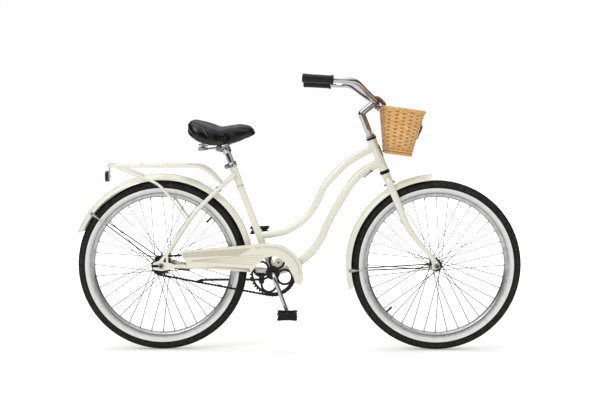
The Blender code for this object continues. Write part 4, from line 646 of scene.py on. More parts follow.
@in_slot("black_plastic")
def maroon_case(name):
    # The reflector's case: dark red ABS with a fine spark-eroded texture of 0.8 mm
    Coated(name, ("2A0A0F", "3C1218"), 10, (0.36, 0.52), 0.8, 0.06, IOR=1.5, Specular_IOR_Level=0.4)


def prism_lens(name, tones, pitch):
    """Moulded acrylic lens: rows of little pyramids of the given pitch, from the product of two sine waves."""
    made = Coated(name, tones, 6, (0.1, 0.2), 2, 0.02, Coat_Weight=0.8, Coat_Roughness=0.04, IOR=1.49)
    x, y, z = made.add("SeparateXYZ", [made.place])
    flat = made.add("Math", [x, y], operation="ADD")[0]
    waves = []
    for way in ("ADD", "SUBTRACT"):
        slant = made.add("Math", [flat, z], operation=way)[0]
        turn = made.add("Math", [slant, 2 * math.pi / pitch], operation="MULTIPLY")[0]
        waves.append(made.add("Math", [turn], operation="SINE")[0])
    prism = made.add("Math", waves, operation="MULTIPLY")[0]
    made.emboss(prism, 0.3)
    # The pyramids' peaks take the lighter tone: a painted glint
    bright = made.add("MapRange", [prism, -0.6, 0.9])[0]
    made.tint(bright, tones[1], 0.45)


@in_slot("red_lens")
def red_prism(name):
    # Ruby reflector of moulded acrylic, dark from most sides
    prism_lens(name, ("5A0D12", "A01A1E"), 0.0034)


@in_slot("red_lens")
def amber_prism(name):
    # Amber pedal reflector of moulded acrylic
    prism_lens(name, ("C4570C", "EE8A1C"), 0.0028)


@in_slot("badge_metal")
def aged_pewter(name):
    # Cast head badge of dark pewter, mottled lighter and darker in 5 mm patches
    Coated(name, ("6F6A60", "4A463F"), 5, (0.3, 0.5), 1.5, 0.08, Metallic=0.9)


@in_slot(None)
def studio_floor(name):
    # Seamless white paper: matt, uneven over 300 mm; the camera sees a glow too, so that only shadow is grey
    made = Coated(name, ("FDFDFC", "FAFAF9"), 300, (0.85, 0.95), 20, 0.02)
    path = made.add("LightPath")
    x, y, _ = made.add("SeparateXYZ", [made.place])
    reach = made.add("Math", [made.add("Math", [made.add("Math", [x, x], operation="MULTIPLY")[0],
                                                made.add("Math", [y, y], operation="MULTIPLY")[0]],
                                       operation="ADD")[0]], operation="SQRT")[0]
    far = made.add("MapRange", [reach, 1.0, 4.0, 0.25, 0.95])[0]
    seen = made.add("Math", [path["Is Camera Ray"], path["Is Transmission Ray"]], operation="MAXIMUM")[0]
    glow = made.add("Math", [made.add("Math", [seen, far], operation="MULTIPLY")[0],
                             made.add("Math", [path["Is Glossy Ray"], 0.05], operation="MULTIPLY")[0]],
                    operation="ADD")[0]
    made.shader.inputs["Emission Color"].default_value = linear("FFFFFF")
    made.feed("Emission Strength", glow)


def material(name):
    """The named finish, made at its first use."""
    if name not in bpy.data.materials:
        FINISHES[name](name)
    return bpy.data.materials[name]


# ---- Wheels ----
def tyre(centre):
    """Beach-cruiser tyre, a ring of ring angle f: radius mid + 27 mm cos f, side 27 mm sin f.

    The tread is pressed in by d(f, a): two grooves round the wheel and 180 slots that slant away from its middle.
    """
    mid = (TYRE_R + BEAD_R) / 2
    half = [(10, 0, 0), (12.5, 1, 1), (17, 1, 1), (19, 0, 1), (30, 0, 1), (42, 0, 1), (44.5, 1, 1), (48, 1, 1),
            (50, 0, 1), (60, 0, 1), (70, 0, 1), (75, 0, 1), (80, 0.4, 1), (88, 0.4, 0), (94, 1, 0), (97, 0.6, 0),
            (102, 0.1, 0), (108, 0, 0), (120, 0, 0), (131, 0, 0), (134, -0.6, 0), (138, 0, 0), (146, 0.5, 0)]
    rows = np.array([(-f, d, s) for f, d, s in half[::-1]] + [(0.0, 0.0, 0.0)] + half)
    angle, deep, slot = np.radians(rows[:, 0]), rows[:, 1], rows[:, 2]
    slots = np.where(np.arange(720) % 4 == 0, 1.0, 0.0)
    press = TREAD_DEPTH * np.maximum(deep[:, None], slot[:, None] * slots[None])
    depth = TYRE_HALF - press
    spin = around(720)[None] + TREAD_SLANT * np.abs(angle)[:, None]
    r = mid + depth * np.cos(angle)[:, None]
    outer = upright(r * np.cos(spin), r * np.sin(spin), depth * np.sin(angle)[:, None])
    inner_angle = np.radians(np.array([146, 110, 60, 0, -60, -110, -146]))
    r = mid + (TYRE_HALF - TYRE_WALL) * np.cos(inner_angle)[:, None]
    spin = around(720)[None]
    inner = upright(r * np.cos(spin), r * np.sin(spin), (TYRE_HALF - TYRE_WALL) * np.sin(inner_angle)[:, None])
    part = outward(grid(centre + np.vstack([outer, inner]), close_rows=True))
    pale = (np.abs(rows[:-1, 0] + rows[1:, 0]) / 2 > 96)
    pale = np.concatenate([pale, np.zeros(8, bool)])
    return part, np.repeat(pale, 720)


def rim(centre):
    """Spun rim: hooked flanges, curved side walls and a flat face for the nipples, carried round the hub."""
    half = mm((277.5, 8), (279.6, 15), (283.5, 15.3), (285, 15.9), (285.3, 16.7), (284.6, 17.4), (282, 17.5),
              (279, 17.2), (276, 16.8), (272.5, 15.2), (269.5, 12.5), (267.8, 9.5), (267.2, 5))
    return turned(folded(half), centre, steps=144, ring=True)


def laced(centre, flange_r, flange_y):
    """Ends of the 36 spokes: each leaves its flange along the hub's rim, crosses three and meets the rim."""
    pitch = 2 * np.pi / SPOKES_A_SIDE
    k = np.arange(SPOKES_A_SIDE)
    lows, highs, heads = [], [], []
    for side, shift in ((-1, 0.0), (1, 0.5)):
        way = np.where(k % 2, 1, -1)
        hub = (k + shift) * pitch
        out = hub + way * 3 * pitch
        r_in = flange_r - 0.0025
        low = upright(*polar(r_in, hub).T, side * (flange_y + way * 0.0024))
        head = upright(*polar(r_in, hub).T, side * (flange_y - way * 0.0024))
        high = upright(*polar(SPOKE_END_R, out).T, side * 0.0035)
        lows.append(low), highs.append(high), heads.append(head)
    return centre + np.vstack(lows), centre + np.vstack(highs), centre + np.vstack(heads)


def nipples(lows, highs):
    """Spoke nipples and the rim's eyelets: turned brass ends on each spoke's own line."""
    along = unit(lows - highs)
    body = turned(mm((1.9, -0.5), (2.2, 0.3), (2.2, 8), (1.7, 11.5), (1.2, 12.5)), (0, 0, 0), (1, 0, 0), 8)
    eyelet = turned(mm((4, 0.6), (3.8, 2.6), (2.6, 3.2), (2.2, 0.6)), (0, 0, 0), (1, 0, 0), 12, ring=True)
    return copies(gather(body, eyelet), highs, frames(along, SIDE))


FRONT_HUB_PROFILE = mm((5.5, 38.5), (10.5, 38.8), (12.2, 37.8), (12.5, 35), (13, 33), (21.5, 31.6), (22.5, 30.8),
                       (22.5, 29.4), (21.5, 28.5), (15, 27.2), (13.5, 24), (14, 12), (14.2, 0))
REAR_HUB_PROFILE = mm((17.2, 34), (23.2, 34.2), (24, 33.2), (24, 31.2), (25, 30.6), (29, 30.2), (30, 29.4),
                      (30, 27.8), (29, 27), (24, 26.2), (22, 23.5), (21.4, 12), (21.6, 0))


def shell(profile, centre):
    """Hub shell: the profile of one half and its mirror, with a bore for the axle."""
    bore, end = profile[0] - (0, 0.002)
    return turned(np.vstack([folded(profile, 1), [(bore, -end), (bore, end)]]), centre, steps=64, ring=True)


def valve(centre, angle):
    """Schrader valve with its cap: from the rim's face towards the hub."""
    out = -upright(*polar(1, angle))
    foot = centre - 0.266 * out
    return turned(mm((4.8, -3), (4.8, 0.4), (3.8, 1), (3.8, 15), (4.2, 15.5), (4.2, 24.5), (3.2, 25.8)), foot, out,
                  20)


def hub_studs(centre, y, radius):
    """Small raised rings on the shell's middle, where the maker rolled it."""
    rows = mm((0, -1.4), (0.7, -0.6), (0.7, 0.6), (0, 1.4), (-1, 0)) + (radius, 0)
    return gather(*[turned(rows, centre + y * k * SIDE, steps=64, ring=True) for k in (-1, 0, 1)])


for end, centre, profile, flange_r, flange_y, valve_at in (
        ("front", FRONT_HUB, FRONT_HUB_PROFILE, 0.0225, 0.03, math.radians(224.0)),
        ("rear", REAR_HUB, REAR_HUB_PROFILE, 0.03, 0.0285, math.radians(44.0))):
    body = end + "_wheel"
    tread, pale = tyre(centre)
    put(end + "_tyre_dressed", tread, body, ["tread_rubber", "whitewall_rubber"], end + "_tyre", sharp=38,
        index=pale)
    put(end + "_rim_spun", rim(centre), body, "spun_alloy", end + "_rim", sharp=40)
    put(end + "_valve", valve(centre, valve_at), body, "moulded_black")
    lows, highs, heads = laced(centre, flange_r, flange_y)
    put(end + "_spokes", gather(wires(lows, highs, 0.0013, 8), wires(heads, lows, 0.0014, 8)), body, "drawn_steel",
        end + "_hub_and_spokes")
    put(end + "_nipples", nipples(lows, highs), body, "zinc_plate")
    put(end + "_hub_shell", shell(profile, centre), body, "dark_steel", sharp=40)
    put(end + "_hub_bands", hub_studs(centre, 0.0065, profile[-1][0]), body, "dark_steel")


# ---- Frame ----
TOP_TUBE_R, DOWN_TUBE_R, SEAT_TUBE_R, HEAD_R, SHELL_R = 0.0143, 0.0159, 0.0143, 0.017, 0.0285
TOP_WAY = [steer(0.52), (0.227, 0, 0.761), (0.174, 0, 0.724), (0.103, 0, 0.648), (0.066, 0, 0.574),
           (0.024, 0, 0.516), (-0.039, 0, 0.473), (-0.098, 0, 0.456), seat(0.153)]
DOWN_WAY = [steer(0.456), (0.247, 0, 0.698), (0.199, 0, 0.645), (0.148, 0, 0.563), (0.113, 0, 0.499),
            (0.084, 0, 0.434), (0.039, 0, 0.374), (-0.016, 0, 0.333), (-0.056, 0, 0.316), BB]
CHAIN_STAY = mm((-112, 23.5, 307.8), (-120, 24, 308.5), (-170, 26.5, 313.5), (-200, 30, 316.5), (-240, 42, 320.5),
                (-330, 47, 327), (-430, 50, 331), (-486, 53, 332.5))
SEAT_STAY = mm((-256, 23, 690), (-275, 29, 668), (-305, 37, 641.5), (-341, 42.5, 609), (-403, 46.5, 546),
               (-447, 49, 488), (-495, 52.5, 414), (-518, 54.5, 378))


def weld(foot, way, radius, axis_at, axis, axis_r, bead=0.0019):
    """Weld where a tube runs out of a round one: on each line of its surface, the l that solves |q + l t| = R.

    q and t are the line's start and way with the other tube's axis direction taken out.
    """
    way, axis = unit(np.asarray(way, float)), unit(np.asarray(axis, float))
    u = unit(np.cross(way, axis))
    v = np.cross(way, u)
    a = around(64)
    start = np.asarray(foot) + radius * (np.cos(a)[:, None] * u + np.sin(a)[:, None] * v)
    q = start - axis_at
    q = q - (q @ axis)[:, None] * axis
    t = way - (way @ axis) * axis
    mix, square = q @ t, t @ t
    reach = (-mix + np.sqrt(np.maximum(mix ** 2 - square * (np.sum(q * q, 1) - axis_r ** 2), 0))) / square
    ripple = bead * (1 + 0.1 * np.cos(22 * a))
    return sweep(start + reach[:, None] * way, ripple, 8, up=way, closed=True)


def ring_on(point, along, radius, thick, height):
    """Rounded band round a tube."""
    rows = [(radius - 0.001, -height), (radius + 0.6 * thick, -height), (radius + thick, -0.5 * height),
            (radius + thick, 0.5 * height), (radius + 0.6 * thick, height), (radius - 0.001, height)]
    return turned(rows, point, along, 40, ring=True)


top_line, down_line = flow(TOP_WAY, 110), flow(DOWN_WAY, 110)
head_rows = [(0.0152, 0.0), (HEAD_R + 0.0009, 0.0), (HEAD_R + 0.0013, 0.0008), (HEAD_R + 0.0013, 0.0062),
             (HEAD_R + 0.0004, 0.0078), (HEAD_R, 0.0085)]
head_length = HEAD_HIGH - HEAD_LOW
head_profile = head_rows + [(r, head_length - h) for r, h in head_rows[::-1]]
put("head_tube_painted", turned(head_profile, steer(HEAD_LOW), STEER_UP, 48, ring=True), "frame", "cream_enamel",
    "head_tube")
put("top_tube_painted", sweep(top_line, TOP_TUBE_R, 28), "frame", "cream_enamel", "top_tube")
put("down_tube_painted", sweep(down_line, DOWN_TUBE_R, 28), "frame", "cream_enamel", "down_tube")
seat_rows = [(0.0131, 0.0), (SEAT_TUBE_R, 0.0), (SEAT_TUBE_R, 0.4612), (SEAT_TUBE_R - 0.0006, 0.4626),
             (0.0131, 0.4626)]
put("seat_tube_painted", turned(seat_rows, BB, SEAT_UP, 48, ring=True), "frame", "cream_enamel", "seat_tube")
shell_rows = [(0.0257, -0.034), (0.028, -0.034), (SHELL_R, -0.0334), (SHELL_R, 0.0334), (0.028, 0.034),
              (0.0257, 0.034)]
put("bottom_bracket_painted", turned(shell_rows, BB, SIDE, 64, ring=True), "frame", "cream_enamel",
    "bottom_bracket_shell")

seams = gather(
    weld(TOP_WAY[0], top_line[4] - top_line[0], TOP_TUBE_R, steer(0), STEER_UP, HEAD_R),
    weld(DOWN_WAY[0], down_line[4] - down_line[0], DOWN_TUBE_R, steer(0), STEER_UP, HEAD_R),
    weld(top_line[-1], top_line[-5] - top_line[-1], TOP_TUBE_R, BB, SEAT_UP, SEAT_TUBE_R),
    weld(down_line[-1], down_line[-9] - down_line[-1], DOWN_TUBE_R, BB, SIDE, SHELL_R),
    weld(BB, SEAT_UP, SEAT_TUBE_R, BB, SIDE, SHELL_R))
put("frame_weld_beads", seams, "frame", "cream_enamel")

# A slotted band holds the post in the seat tube's top; the photograph's grey band sits below the stays
put("seat_tube_band", ring_on(seat(0.363), SEAT_UP, SEAT_TUBE_R, 0.001, 0.004), "frame", "transfer_panel")

for name, way, sizes, middle, bridge_half in (
        ("chain_stays", CHAIN_STAY, (0.0095, 0.0075), CHAIN_BRIDGE, 0.027),
        ("seat_stays", SEAT_STAY, (0.009, 0.0075), SEAT_BRIDGE, 0.0395)):
    line = flow(way, 90)
    taper = np.linspace(*sizes, len(line))
    to_hub = unit(REAR_HUB - middle)
    length = np.linalg.norm(REAR_HUB - middle) - REAR_FENDER_R - 0.0004
    boss = turned([(0.0055, 0.0), (0.0055, length - 0.0015), (0.0085, length - 0.001), (0.0085, length)], middle,
                  to_hub, 24)
    bar = sweep(middle + np.linspace(-bridge_half, bridge_half, 12)[:, None] * SIDE, 0.007, 20, up=UP)
    put(name + "_painted", gather(both(sweep(line, taper, 20, up=UP, dome=True)), bar, boss), "frame",
        "cream_enamel", name)


def keep_modifiers(piece):
    """Makes the piece's modifiers part of its mesh."""
    made = bpy.data.meshes.new_from_object(piece.evaluated_get(bpy.context.evaluated_depsgraph_get()))
    piece.modifiers.clear()
    old, piece.data = piece.data, made
    bpy.data.meshes.remove(old)


def cut(piece, *parts):
    """Takes closed parts out of a piece with an exact Boolean, then keeps the result as its mesh."""
    for part in parts:
        points, tables = outward(part)
        mesh = bpy.data.meshes.new("cutter")
        mesh.from_pydata(points.tolist(), [], [f.tolist() for table in tables for f in table])
        tool = stand("cutter", mesh)
        step = piece.modifiers.new("cut", "BOOLEAN")
        step.operation, step.solver, step.object = "DIFFERENCE", "EXACT", tool
        keep_modifiers(piece)
        bpy.data.objects.remove(tool)
        bpy.data.meshes.remove(mesh)
    smooth(piece.data, 35)


drop_outline = xz(REAR_HUB) + mm((-34, 5.2), (5.2, 5.2), (5.2, -5.2), (-34, -5.2), (-30, -14), (4, -19),
                                 (51.5, -10), (51.5, 7), (28, 14), (26.5, 44.5), (9.5, 41.5), (-10, 20), (-30, 14))
window = eased(xz(REAR_HUB) + mm((8, 15), (19, 15), (18.5, 33), (13, 31)), 0.003)
for name, side in BOTH_SIDES:
    low, high = sorted((side * 0.055, side * 0.06))
    plate = put("dropout_" + name + "_painted", slab(eased(drop_outline, 0.0022), low, high, 0.0006), "frame",
                "cream_enamel", "dropout_" + name)
    cut(plate, slab(window, low - 0.01, high + 0.01))


def sheet(table, thick):
    """Closed sheet about a surface of points: the surface and its copy moved by the thickness against its normals."""
    normal = unit(np.cross(np.gradient(table, axis=0), np.gradient(table, axis=1)))
    rows, cols = table.shape[:2]
    loops = np.concatenate([table, (table - thick * normal)[::-1]], 0)
    index = np.arange(2 * rows * cols).reshape(2 * rows, cols)
    ring = np.vstack([index, index[:1]])
    quads = np.stack([ring[:-1, :-1], ring[1:, :-1], ring[1:, 1:], ring[:-1, 1:]], -1).reshape(-1, 4)
    low, high = index[:rows], index[:rows - 1:-1]
    start = np.stack([low[:-1, 0], high[:-1, 0], high[1:, 0], low[1:, 0]], -1)
    stop = np.stack([low[:-1, -1], low[1:, -1], high[1:, -1], high[:-1, -1]], -1)
    return outward((loops.reshape(-1, 3), [quads, start, stop]))


def mudguard(centre, radius, first, last, count):
    """Rolled sheet round the wheel: section r(y) from crown to skirt, its ends cut to an arc, and a wired edge.

    The end angle moves by 14 mm (1 - root(1 - w w)) / R, where w runs over the outer 45% of the width.
    """
    half = flow((radius, 0) + mm((0, 0), (-0.7, 10), (-4.8, 19.2), (-11, 26.8), (-16.5, 30.2), (-20, 31)), 15)
    section = np.vstack([half[::-1] * (1, -1), half[1:]])
    v = np.abs(section[:, 1]) / 0.031
    w = np.clip((v - 0.55) / 0.45, 0, 1)
    easing = 0.014 * (1 - np.sqrt(1 - w ** 2 * 0.999)) / radius
    share = np.linspace(0, 1, count)
    sign = 1 if last > first else -1
    a, b = math.radians(first) + sign * easing, math.radians(last) - sign * easing
    angle = a[:, None] + share[None] * (b - a)[:, None]
    r, y = section[:, :1], section[:, 1:]
    table = centre + upright(r * np.cos(angle), r * np.sin(angle), y)
    if sign > 0:
        table = table[::-1]
    wired = [sweep(table[k] - 0.0004 * np.sign(table[k, 0, 1]) * SIDE, 0.0013, 8, dome=True) for k in (0, -1)]
    return gather(sheet(table, 0.0012), *wired)


put("rear_fender_rolled", mudguard(REAR_HUB, REAR_FENDER_R, 159.0, 1.0, 150), "frame", "cream_enamel",
    "rear_fender", sharp=50)
put("front_fender_rolled", mudguard(FRONT_HUB, FRONT_FENDER_R, 93.0, 196.0, 110), "fork", "cream_enamel",
    "front_fender", sharp=50)


# ---- Drive ----
def toothed(centre, teeth, pitch_r, per_tooth=12):
    """Sprocket outline: r = pitch - 0.4 mm - 3.4 mm tanh(2.2 cos(teeth a)) / tanh 2.2, a valley at a = 0."""
    a = around(teeth * per_tooth)
    r = pitch_r - 0.0004 - 0.0034 * np.tanh(2.2 * np.cos(teeth * a)) / math.tanh(2.2)
    return centre + polar(r, a)


def plate_ring(outer, centre, inner_r, y, thick, ease=0.0004):
    """Flat plate between an outline and a round hole, its points facing each other across the plate."""
    way = outer - centre
    inner = centre + inner_r * way / np.linalg.norm(way, axis=1)[:, None]
    return washer(outer, inner, y - thick / 2, y + thick / 2, ease)


bb = xz(BB)
parts = [plate_ring(toothed(bb, RING_TEETH, RING_R), bb, 0.0765, CHAIN_Y, 0.003)]
for k in range(4):
    a = math.radians(71.0) + k * math.pi / 2
    at = bb + polar(0.0485, a)
    parts.append(plate_ring(circle(at, 0.033, 64), at, 0.024, CHAIN_Y, 0.0037, 0.001))
parts.append(plate_ring(circle(bb, 0.0275, 64), bb, 0.0092, CHAIN_Y, 0.0044, 0.001))
parts.append(turned(mm((9.2, -5), (15, -5), (16, -4), (16, 0), (9.2, 0)), BB + (CHAIN_Y - 0.002) * SIDE, SIDE, 40,
                    ring=True))
put("chainring_pressed", gather(*parts), "crank", "black_enamel", "chainring")

rear = xz(REAR_HUB)
cog = plate_ring(toothed(rear, SPROCKET_TEETH, SPROCKET_R), rear, 0.014, CHAIN_Y, 0.003)
low, high = CHAIN_Y - 0.0015, CHAIN_Y + 0.0015
driver = turned([(0.0056, low - 0.003), (0.0135, low - 0.003), (0.0145, low - 0.002), (0.0145, high + 0.002),
                 (0.016, high + 0.004), (0.016, high + 0.013), (0.0056, high + 0.013)], REAR_HUB, SIDE, 40,
                ring=True)
dust_cap = turned([(0.0145, low - 0.0022), (0.0185, low - 0.0024), (0.02, low - 0.0012), (0.02, low - 0.0004),
                   (0.0145, low - 0.0004)], REAR_HUB, SIDE, 48, ring=True)
put("rear_cog", gather(cog, driver, dust_cap), "driver", "dark_steel", "rear_sprocket")


def chain_links():
    """Roller chain on the line that wraps both pitch circles: arcs of 2 w and 2 pi - 2 w joined by two tangents.

    w = 90 degrees + asin((R - r) / d). The line's length is shared out over a whole even number of links.
    """
    away = bb - rear
    d = np.linalg.norm(away)
    lean = math.atan2(away[1], away[0])
    wrap = math.pi / 2 + math.asin((RING_R - SPROCKET_R) / d)
    straight = math.sqrt(d ** 2 - (RING_R - SPROCKET_R) ** 2)
    spans = np.array([RING_R * 2 * wrap, straight, SPROCKET_R * (2 * math.pi - 2 * wrap), straight])
    ends = np.concatenate([[0], np.cumsum(spans)])
    count = 2 * round(ends[-1] / PITCH / 2)
    first = math.ceil((lean - wrap) / (2 * math.pi / RING_TEETH)) * (2 * math.pi / RING_TEETH) - (lean - wrap)
    s = (np.arange(count) * ends[-1] / count + first * RING_R) % ends[-1]

    def at(s):
        a = lean - wrap + s / RING_R
        b = lean + wrap + (s - ends[2]) / SPROCKET_R
        on_ring = bb + polar(RING_R, a)
        on_cog = rear + polar(SPROCKET_R, b)
        edge, under = polar(1, lean + wrap), polar(1, lean - wrap)
        share = ((s - ends[1]) / straight)[:, None]
        top = bb + RING_R * edge + share * ((SPROCKET_R - RING_R) * edge + rear - bb)
        share = ((s - ends[3]) / straight)[:, None]
        back = rear + SPROCKET_R * under + share * ((RING_R - SPROCKET_R) * under + bb - rear)
        piece = np.searchsorted(ends[1:-1], s, side="right")[:, None]
        return np.select([piece == 0, piece == 1, piece == 2], [on_ring, top, on_cog], back)

    p = at(s)
    q = np.roll(p, -1, 0)
    middle, along = upright(*((p + q) / 2).T, CHAIN_Y), upright(*(q - p).T)
    turns = frames(along, UP)
    a = np.radians([0, 55, 100, 140])
    end = (PITCH / 2, 0) + polar(0.0047, a)
    bow = np.vstack([end, [(0.0, 0.0033)], end[::-1] * (-1, 1)])
    outline = np.vstack([bow, bow[1:-1][::-1] * (1, -1)])

    def plate(y):
        return outward(grid(np.stack([upright(*outline.T, y), upright(*outline.T, y + 0.0009)]), caps=True))

    def link(near, far, r, half, sides):
        pins = [turned([(r, -half), (r, half)], (x, 0, 0), SIDE, sides) for x in (-PITCH / 2, PITCH / 2)]
        return gather(plate(near), plate(far), *pins)

    outer, inner = link(-0.0037, 0.0028, 0.0018, 0.004, 8), link(-0.0026, 0.0017, 0.0038, 0.0016, 10)
    return gather(copies(outer, middle[::2], turns[::2]), copies(inner, middle[1::2], turns[1::2]))


put("roller_chain", chain_links(), "frame", "oiled_chain", "chain")


def crank():
    """One-piece crank: a bar bent twice, its section an ellipse that flattens along the arms, with turned eyes."""
    half = mm((160, 73.5), (130, 73.5), (95, 73.2), (60, 72.5), (30, 70), (12, 64), (3, 52), (0, 36), (0, 15))
    line = flow(facing(BB, CRANK_WAY, -SIDE)(*np.vstack([half, -half[::-1]]).T), 170)
    far = np.linalg.norm((line - BB) * (1, 0, 1), axis=1) / CRANK_R
    flat = 0.0085 - 0.0022 * np.clip(far / 0.5, 0, 1)
    wide = 0.0085 + 0.001 * np.exp(-((far - 0.22) / 0.14) ** 2) - 0.0008 * np.clip((far - 0.3) / 0.6, 0, 1)
    return sweep(line, np.stack([flat, wide], -1), 24, up=np.cross(SIDE, CRANK_WAY), dome=True)


parts = [crank()]
for side in (-1, 1):
    out = side * SIDE
    at = BB - side * CRANK_R * CRANK_WAY + PEDAL_EYE_Y * out
    rows = mm((6.2, -7.5), (11.5, -7.5), (12.5, -6.5), (12.5, 6.5), (11.5, 7.5), (6.2, 7.5))
    parts.append(turned(rows, at, out, 40, ring=True))
    spindle = mm((7.2, -8), (7.2, 7.5), (8.2, 7.7), (8.2, 10.2), (5.5, 10.6), (5.2, 90), (5, 100))
    parts.append(turned(spindle, at, out, 24))
    parts.append(turned(mm((8.9, 0), (15.5, 0.5), (16.5, 1.5), (16.5, 3), (8.9, 3.6)), BB + 0.0346 * out, out, 40,
                        ring=True))
put("crank_forged", gather(*parts), "crank", "chrome", "crank")

for name, side in BOTH_SIDES:
    cup = mm((9.2, -9), (25.3, -9), (25.3, 0.4), (26.8, 0.6), (27.5, 1.4), (26.2, 2.5), (18, 2.5), (17.2, 0.8),
             (9.2, 0.8))
    put("bracket_cup_" + name, turned(cup, BB + side * 0.034 * SIDE, side * SIDE, 48, ring=True), "frame", "chrome",
        "bottom_bracket_cup_" + name)


def pedal(side):
    """Platform pedal about its spindle: a moulded body with two tread bars, cross ribs, end plates and reflectors."""
    eye = BB - side * CRANK_R * CRANK_WAY
    # Half the eye, the spindle's shoulder and a gap lie between the crank and the block
    low, width = PEDAL_EYE_Y + 0.0075 + 0.003 + 0.0003, 0.09
    place = facing(eye + side * low * SIDE, FORWARD, UP, side * SIDE)
    barrel = turned(mm((6, 0), (10.5, 0), (11.2, 1.2), (10, 6), (8.8, 20), (8.8, 70), (10, 84), (11.2, 88.5),
                       (10.5, 90), (6, 90)), eye + side * low * SIDE, side * SIDE, 32, ring=True)
    parts = [barrel]
    right = folded(mm((34, -15), (39.8, -10.5), (37.5, -8.2), (29, -4)))
    middle = mm((14, 12.8), (-14, 12.8))
    outline = eased(np.vstack([right, middle, -right, -middle]), 0.0025)
    for y in (0.0004, width - 0.0084):
        parts.append(slab(outline, y, y + 0.008, 0.001, place))
    for way in (-1, 1):
        for z in (-1, 1):
            bar = eased(mm((25, 14.2), (37.2, 14.2), (37.2, 9.2), (25, 9.8)) * (way, z), 0.0018)
            parts.append(slab(bar, 0.006, width - 0.006, 0.0008, place))
        web = eased(mm((8.5, 6), (28, 10), (28, -10), (8.5, -6)) * (way, 1), 0.0015)
        for y in (0.026, 0.044, 0.062):
            parts.append(slab(web, y, y + 0.003, 0.0006, place))
    # Grip teeth along each tread bar's top: 9 ridges, nearly 8 mm apart
    for way in (-1, 1):
        for z in (-1, 1):
            tooth = eased(mm((26, 13.6), (36.6, 13.6), (35.6, 15.2), (27.2, 15.2)) * (way, z), 0.0005)
            parts += [slab(tooth, y, y + 0.0035, 0.0005, place) for y in np.linspace(0.012, width - 0.0155, 9)]
    cap = turned(mm((0.1, 0), (7.8, 0), (8.5, 0.8), (8.5, 2), (6, 2.6)), eye + side * (low + width - 0.0006) * SIDE,
                 side * SIDE, 32)
    parts.append(cap)
    lens = [slab(eased(rect(25.8, 28.2, -7, 7) * (way, 1), 0.0008), 0.016, width - 0.016, 0.0006, place)
            for way in (-1, 1)]
    return gather(*parts), gather(*lens)


for name, side in BOTH_SIDES:
    block, lens = pedal(side)
    put("pedal_body_" + name, block, "pedal_" + name, "moulded_black", "pedal_" + name)
    put("pedal_reflectors_" + name, lens, "pedal_" + name, "amber_prism")


# ---- Chain guard ----
GUARD_Y = -0.0625
GUARD_UPPER = mm((-461.8, 392.4), (-348, 402.8), (-237.2, 412.5), (-170.6, 419.1), (-126.1, 422.6), (-81.6, 419.1),
                 (-57.6, 410.2), (-37.4, 396.6), (-16.9, 380), (-1.8, 361.4), (8.3, 342), (13.7, 321.1),
                 (16, 285.5), (7.1, 261.1))
GUARD_BOW = mm((-15, 267.7), (-21.9, 290.9), (-32.8, 312.2), (-44.4, 335), (-59.5, 352.5), (-82.7, 367.2),
               (-108.3, 372.2), (-130.3, 366), (-148.5, 352.5), (-170.6, 330), (-189.2, 306.4))
GUARD_FOOT = mm((-193.8, 324.6), (-309.2, 332.3), (-433.1, 327.3), (-444.8, 355.2), (-455.2, 366.8))


def guard_edge(line, inwards):
    """The outer edge moved into the plate: each point goes along its own normal."""
    return line - inwards * unit(quarter(np.gradient(line, axis=0)))


guard_line = flow(GUARD_UPPER, 120)
face_line = guard_edge(guard_line, 0.003)
outline = np.vstack([face_line, flow(GUARD_BOW, 70), eased(GUARD_FOOT, 0.004, closed=False)])
plate = slab(outline, GUARD_Y + 0.0001, GUARD_Y + 0.0013, 0.0003)
bend = mm((7.5, 0), (5.5, -0.35), (4, -0.1), (3, 0), (1.8, 0.4), (0.8, 1.3), (0.2, 2.5), (0, 4), (0, 12), (0, 19),
          (0.6, 20))
table = np.stack([upright(*guard_edge(guard_line, inwards).T, GUARD_Y + deep) for inwards, deep in bend], 0)
lip = sheet(table[:, ::-1], 0.0009)
arms = [slab(eased(rect(*box), 0.0012), GUARD_Y + 0.0009, y, 0.0004)
        for box, y in (((-148, -138, 403, 408), -0.005), ((-430, -418, 329, 333), -0.048))]
put("chain_guard_pressed", gather(plate, lip, *arms), "frame", "guard_enamel", "chain_guard", sharp=40)


def inlay(outline, thick=0.00018):
    """Transfer film on the guard's face: its outline, standing a hair proud."""
    return slab(outline, GUARD_Y + 0.0004, GUARD_Y + 0.0001 - thick, 0.00005)


def line_strip(line, width):
    """Thin band along (x, z) points: the line moved half its width to either side."""
    line = np.asarray(line, float)
    normal = quarter(unit(np.gradient(line, axis=0))) * np.asarray(width).reshape(-1, 1) / 2
    return np.vstack([line + normal, (line - normal)[::-1]])


panel = eased(mm((-454.5, 387.2), (-320.8, 396.3), (-184, 406), (-233, 375.5), (-348.1, 372.2), (-450, 366.6)),
              0.0025)
put("guard_transfer_panel", inlay(panel), "frame", "transfer_panel")
stripes = []
for end in ((-0.1384, 0.3786), (-0.147, 0.369), (-0.1585, 0.3588), (-0.17, 0.349), (-0.18, 0.339)):
    t = np.linspace(0, 1, 30)[:, None]
    start = np.array([-0.42, 0.3545 + 0.12 * (end[1] - 0.3588)])
    line = start + t * (np.array(end) - start) + (0, 1) * (0.0016 * np.sin(np.pi * t))
    stripes.append(inlay(line_strip(line, np.interp(t[:, 0], (0, 0.3, 1), (0.0006, 0.0012, 0.0009))), 0.00012))
for inwards, width in ((0.0115, 0.0011), (0.0165, 0.0009)):
    stripes.append(inlay(line_strip(guard_edge(guard_line, inwards)[58:112], width), 0.00012))
edge = guard_edge(guard_line, 0.014)
step = unit(np.gradient(edge, axis=0))
for k in range(60, 110, 2):
    slant = -0.0022 * (quarter(step[k]) + step[k])
    stripes.append(inlay(line_strip([edge[k] + slant, edge[k] - slant], 0.0008), 0.00012))
put("guard_coach_lines", gather(*stripes), "frame", "transfer_stripe")

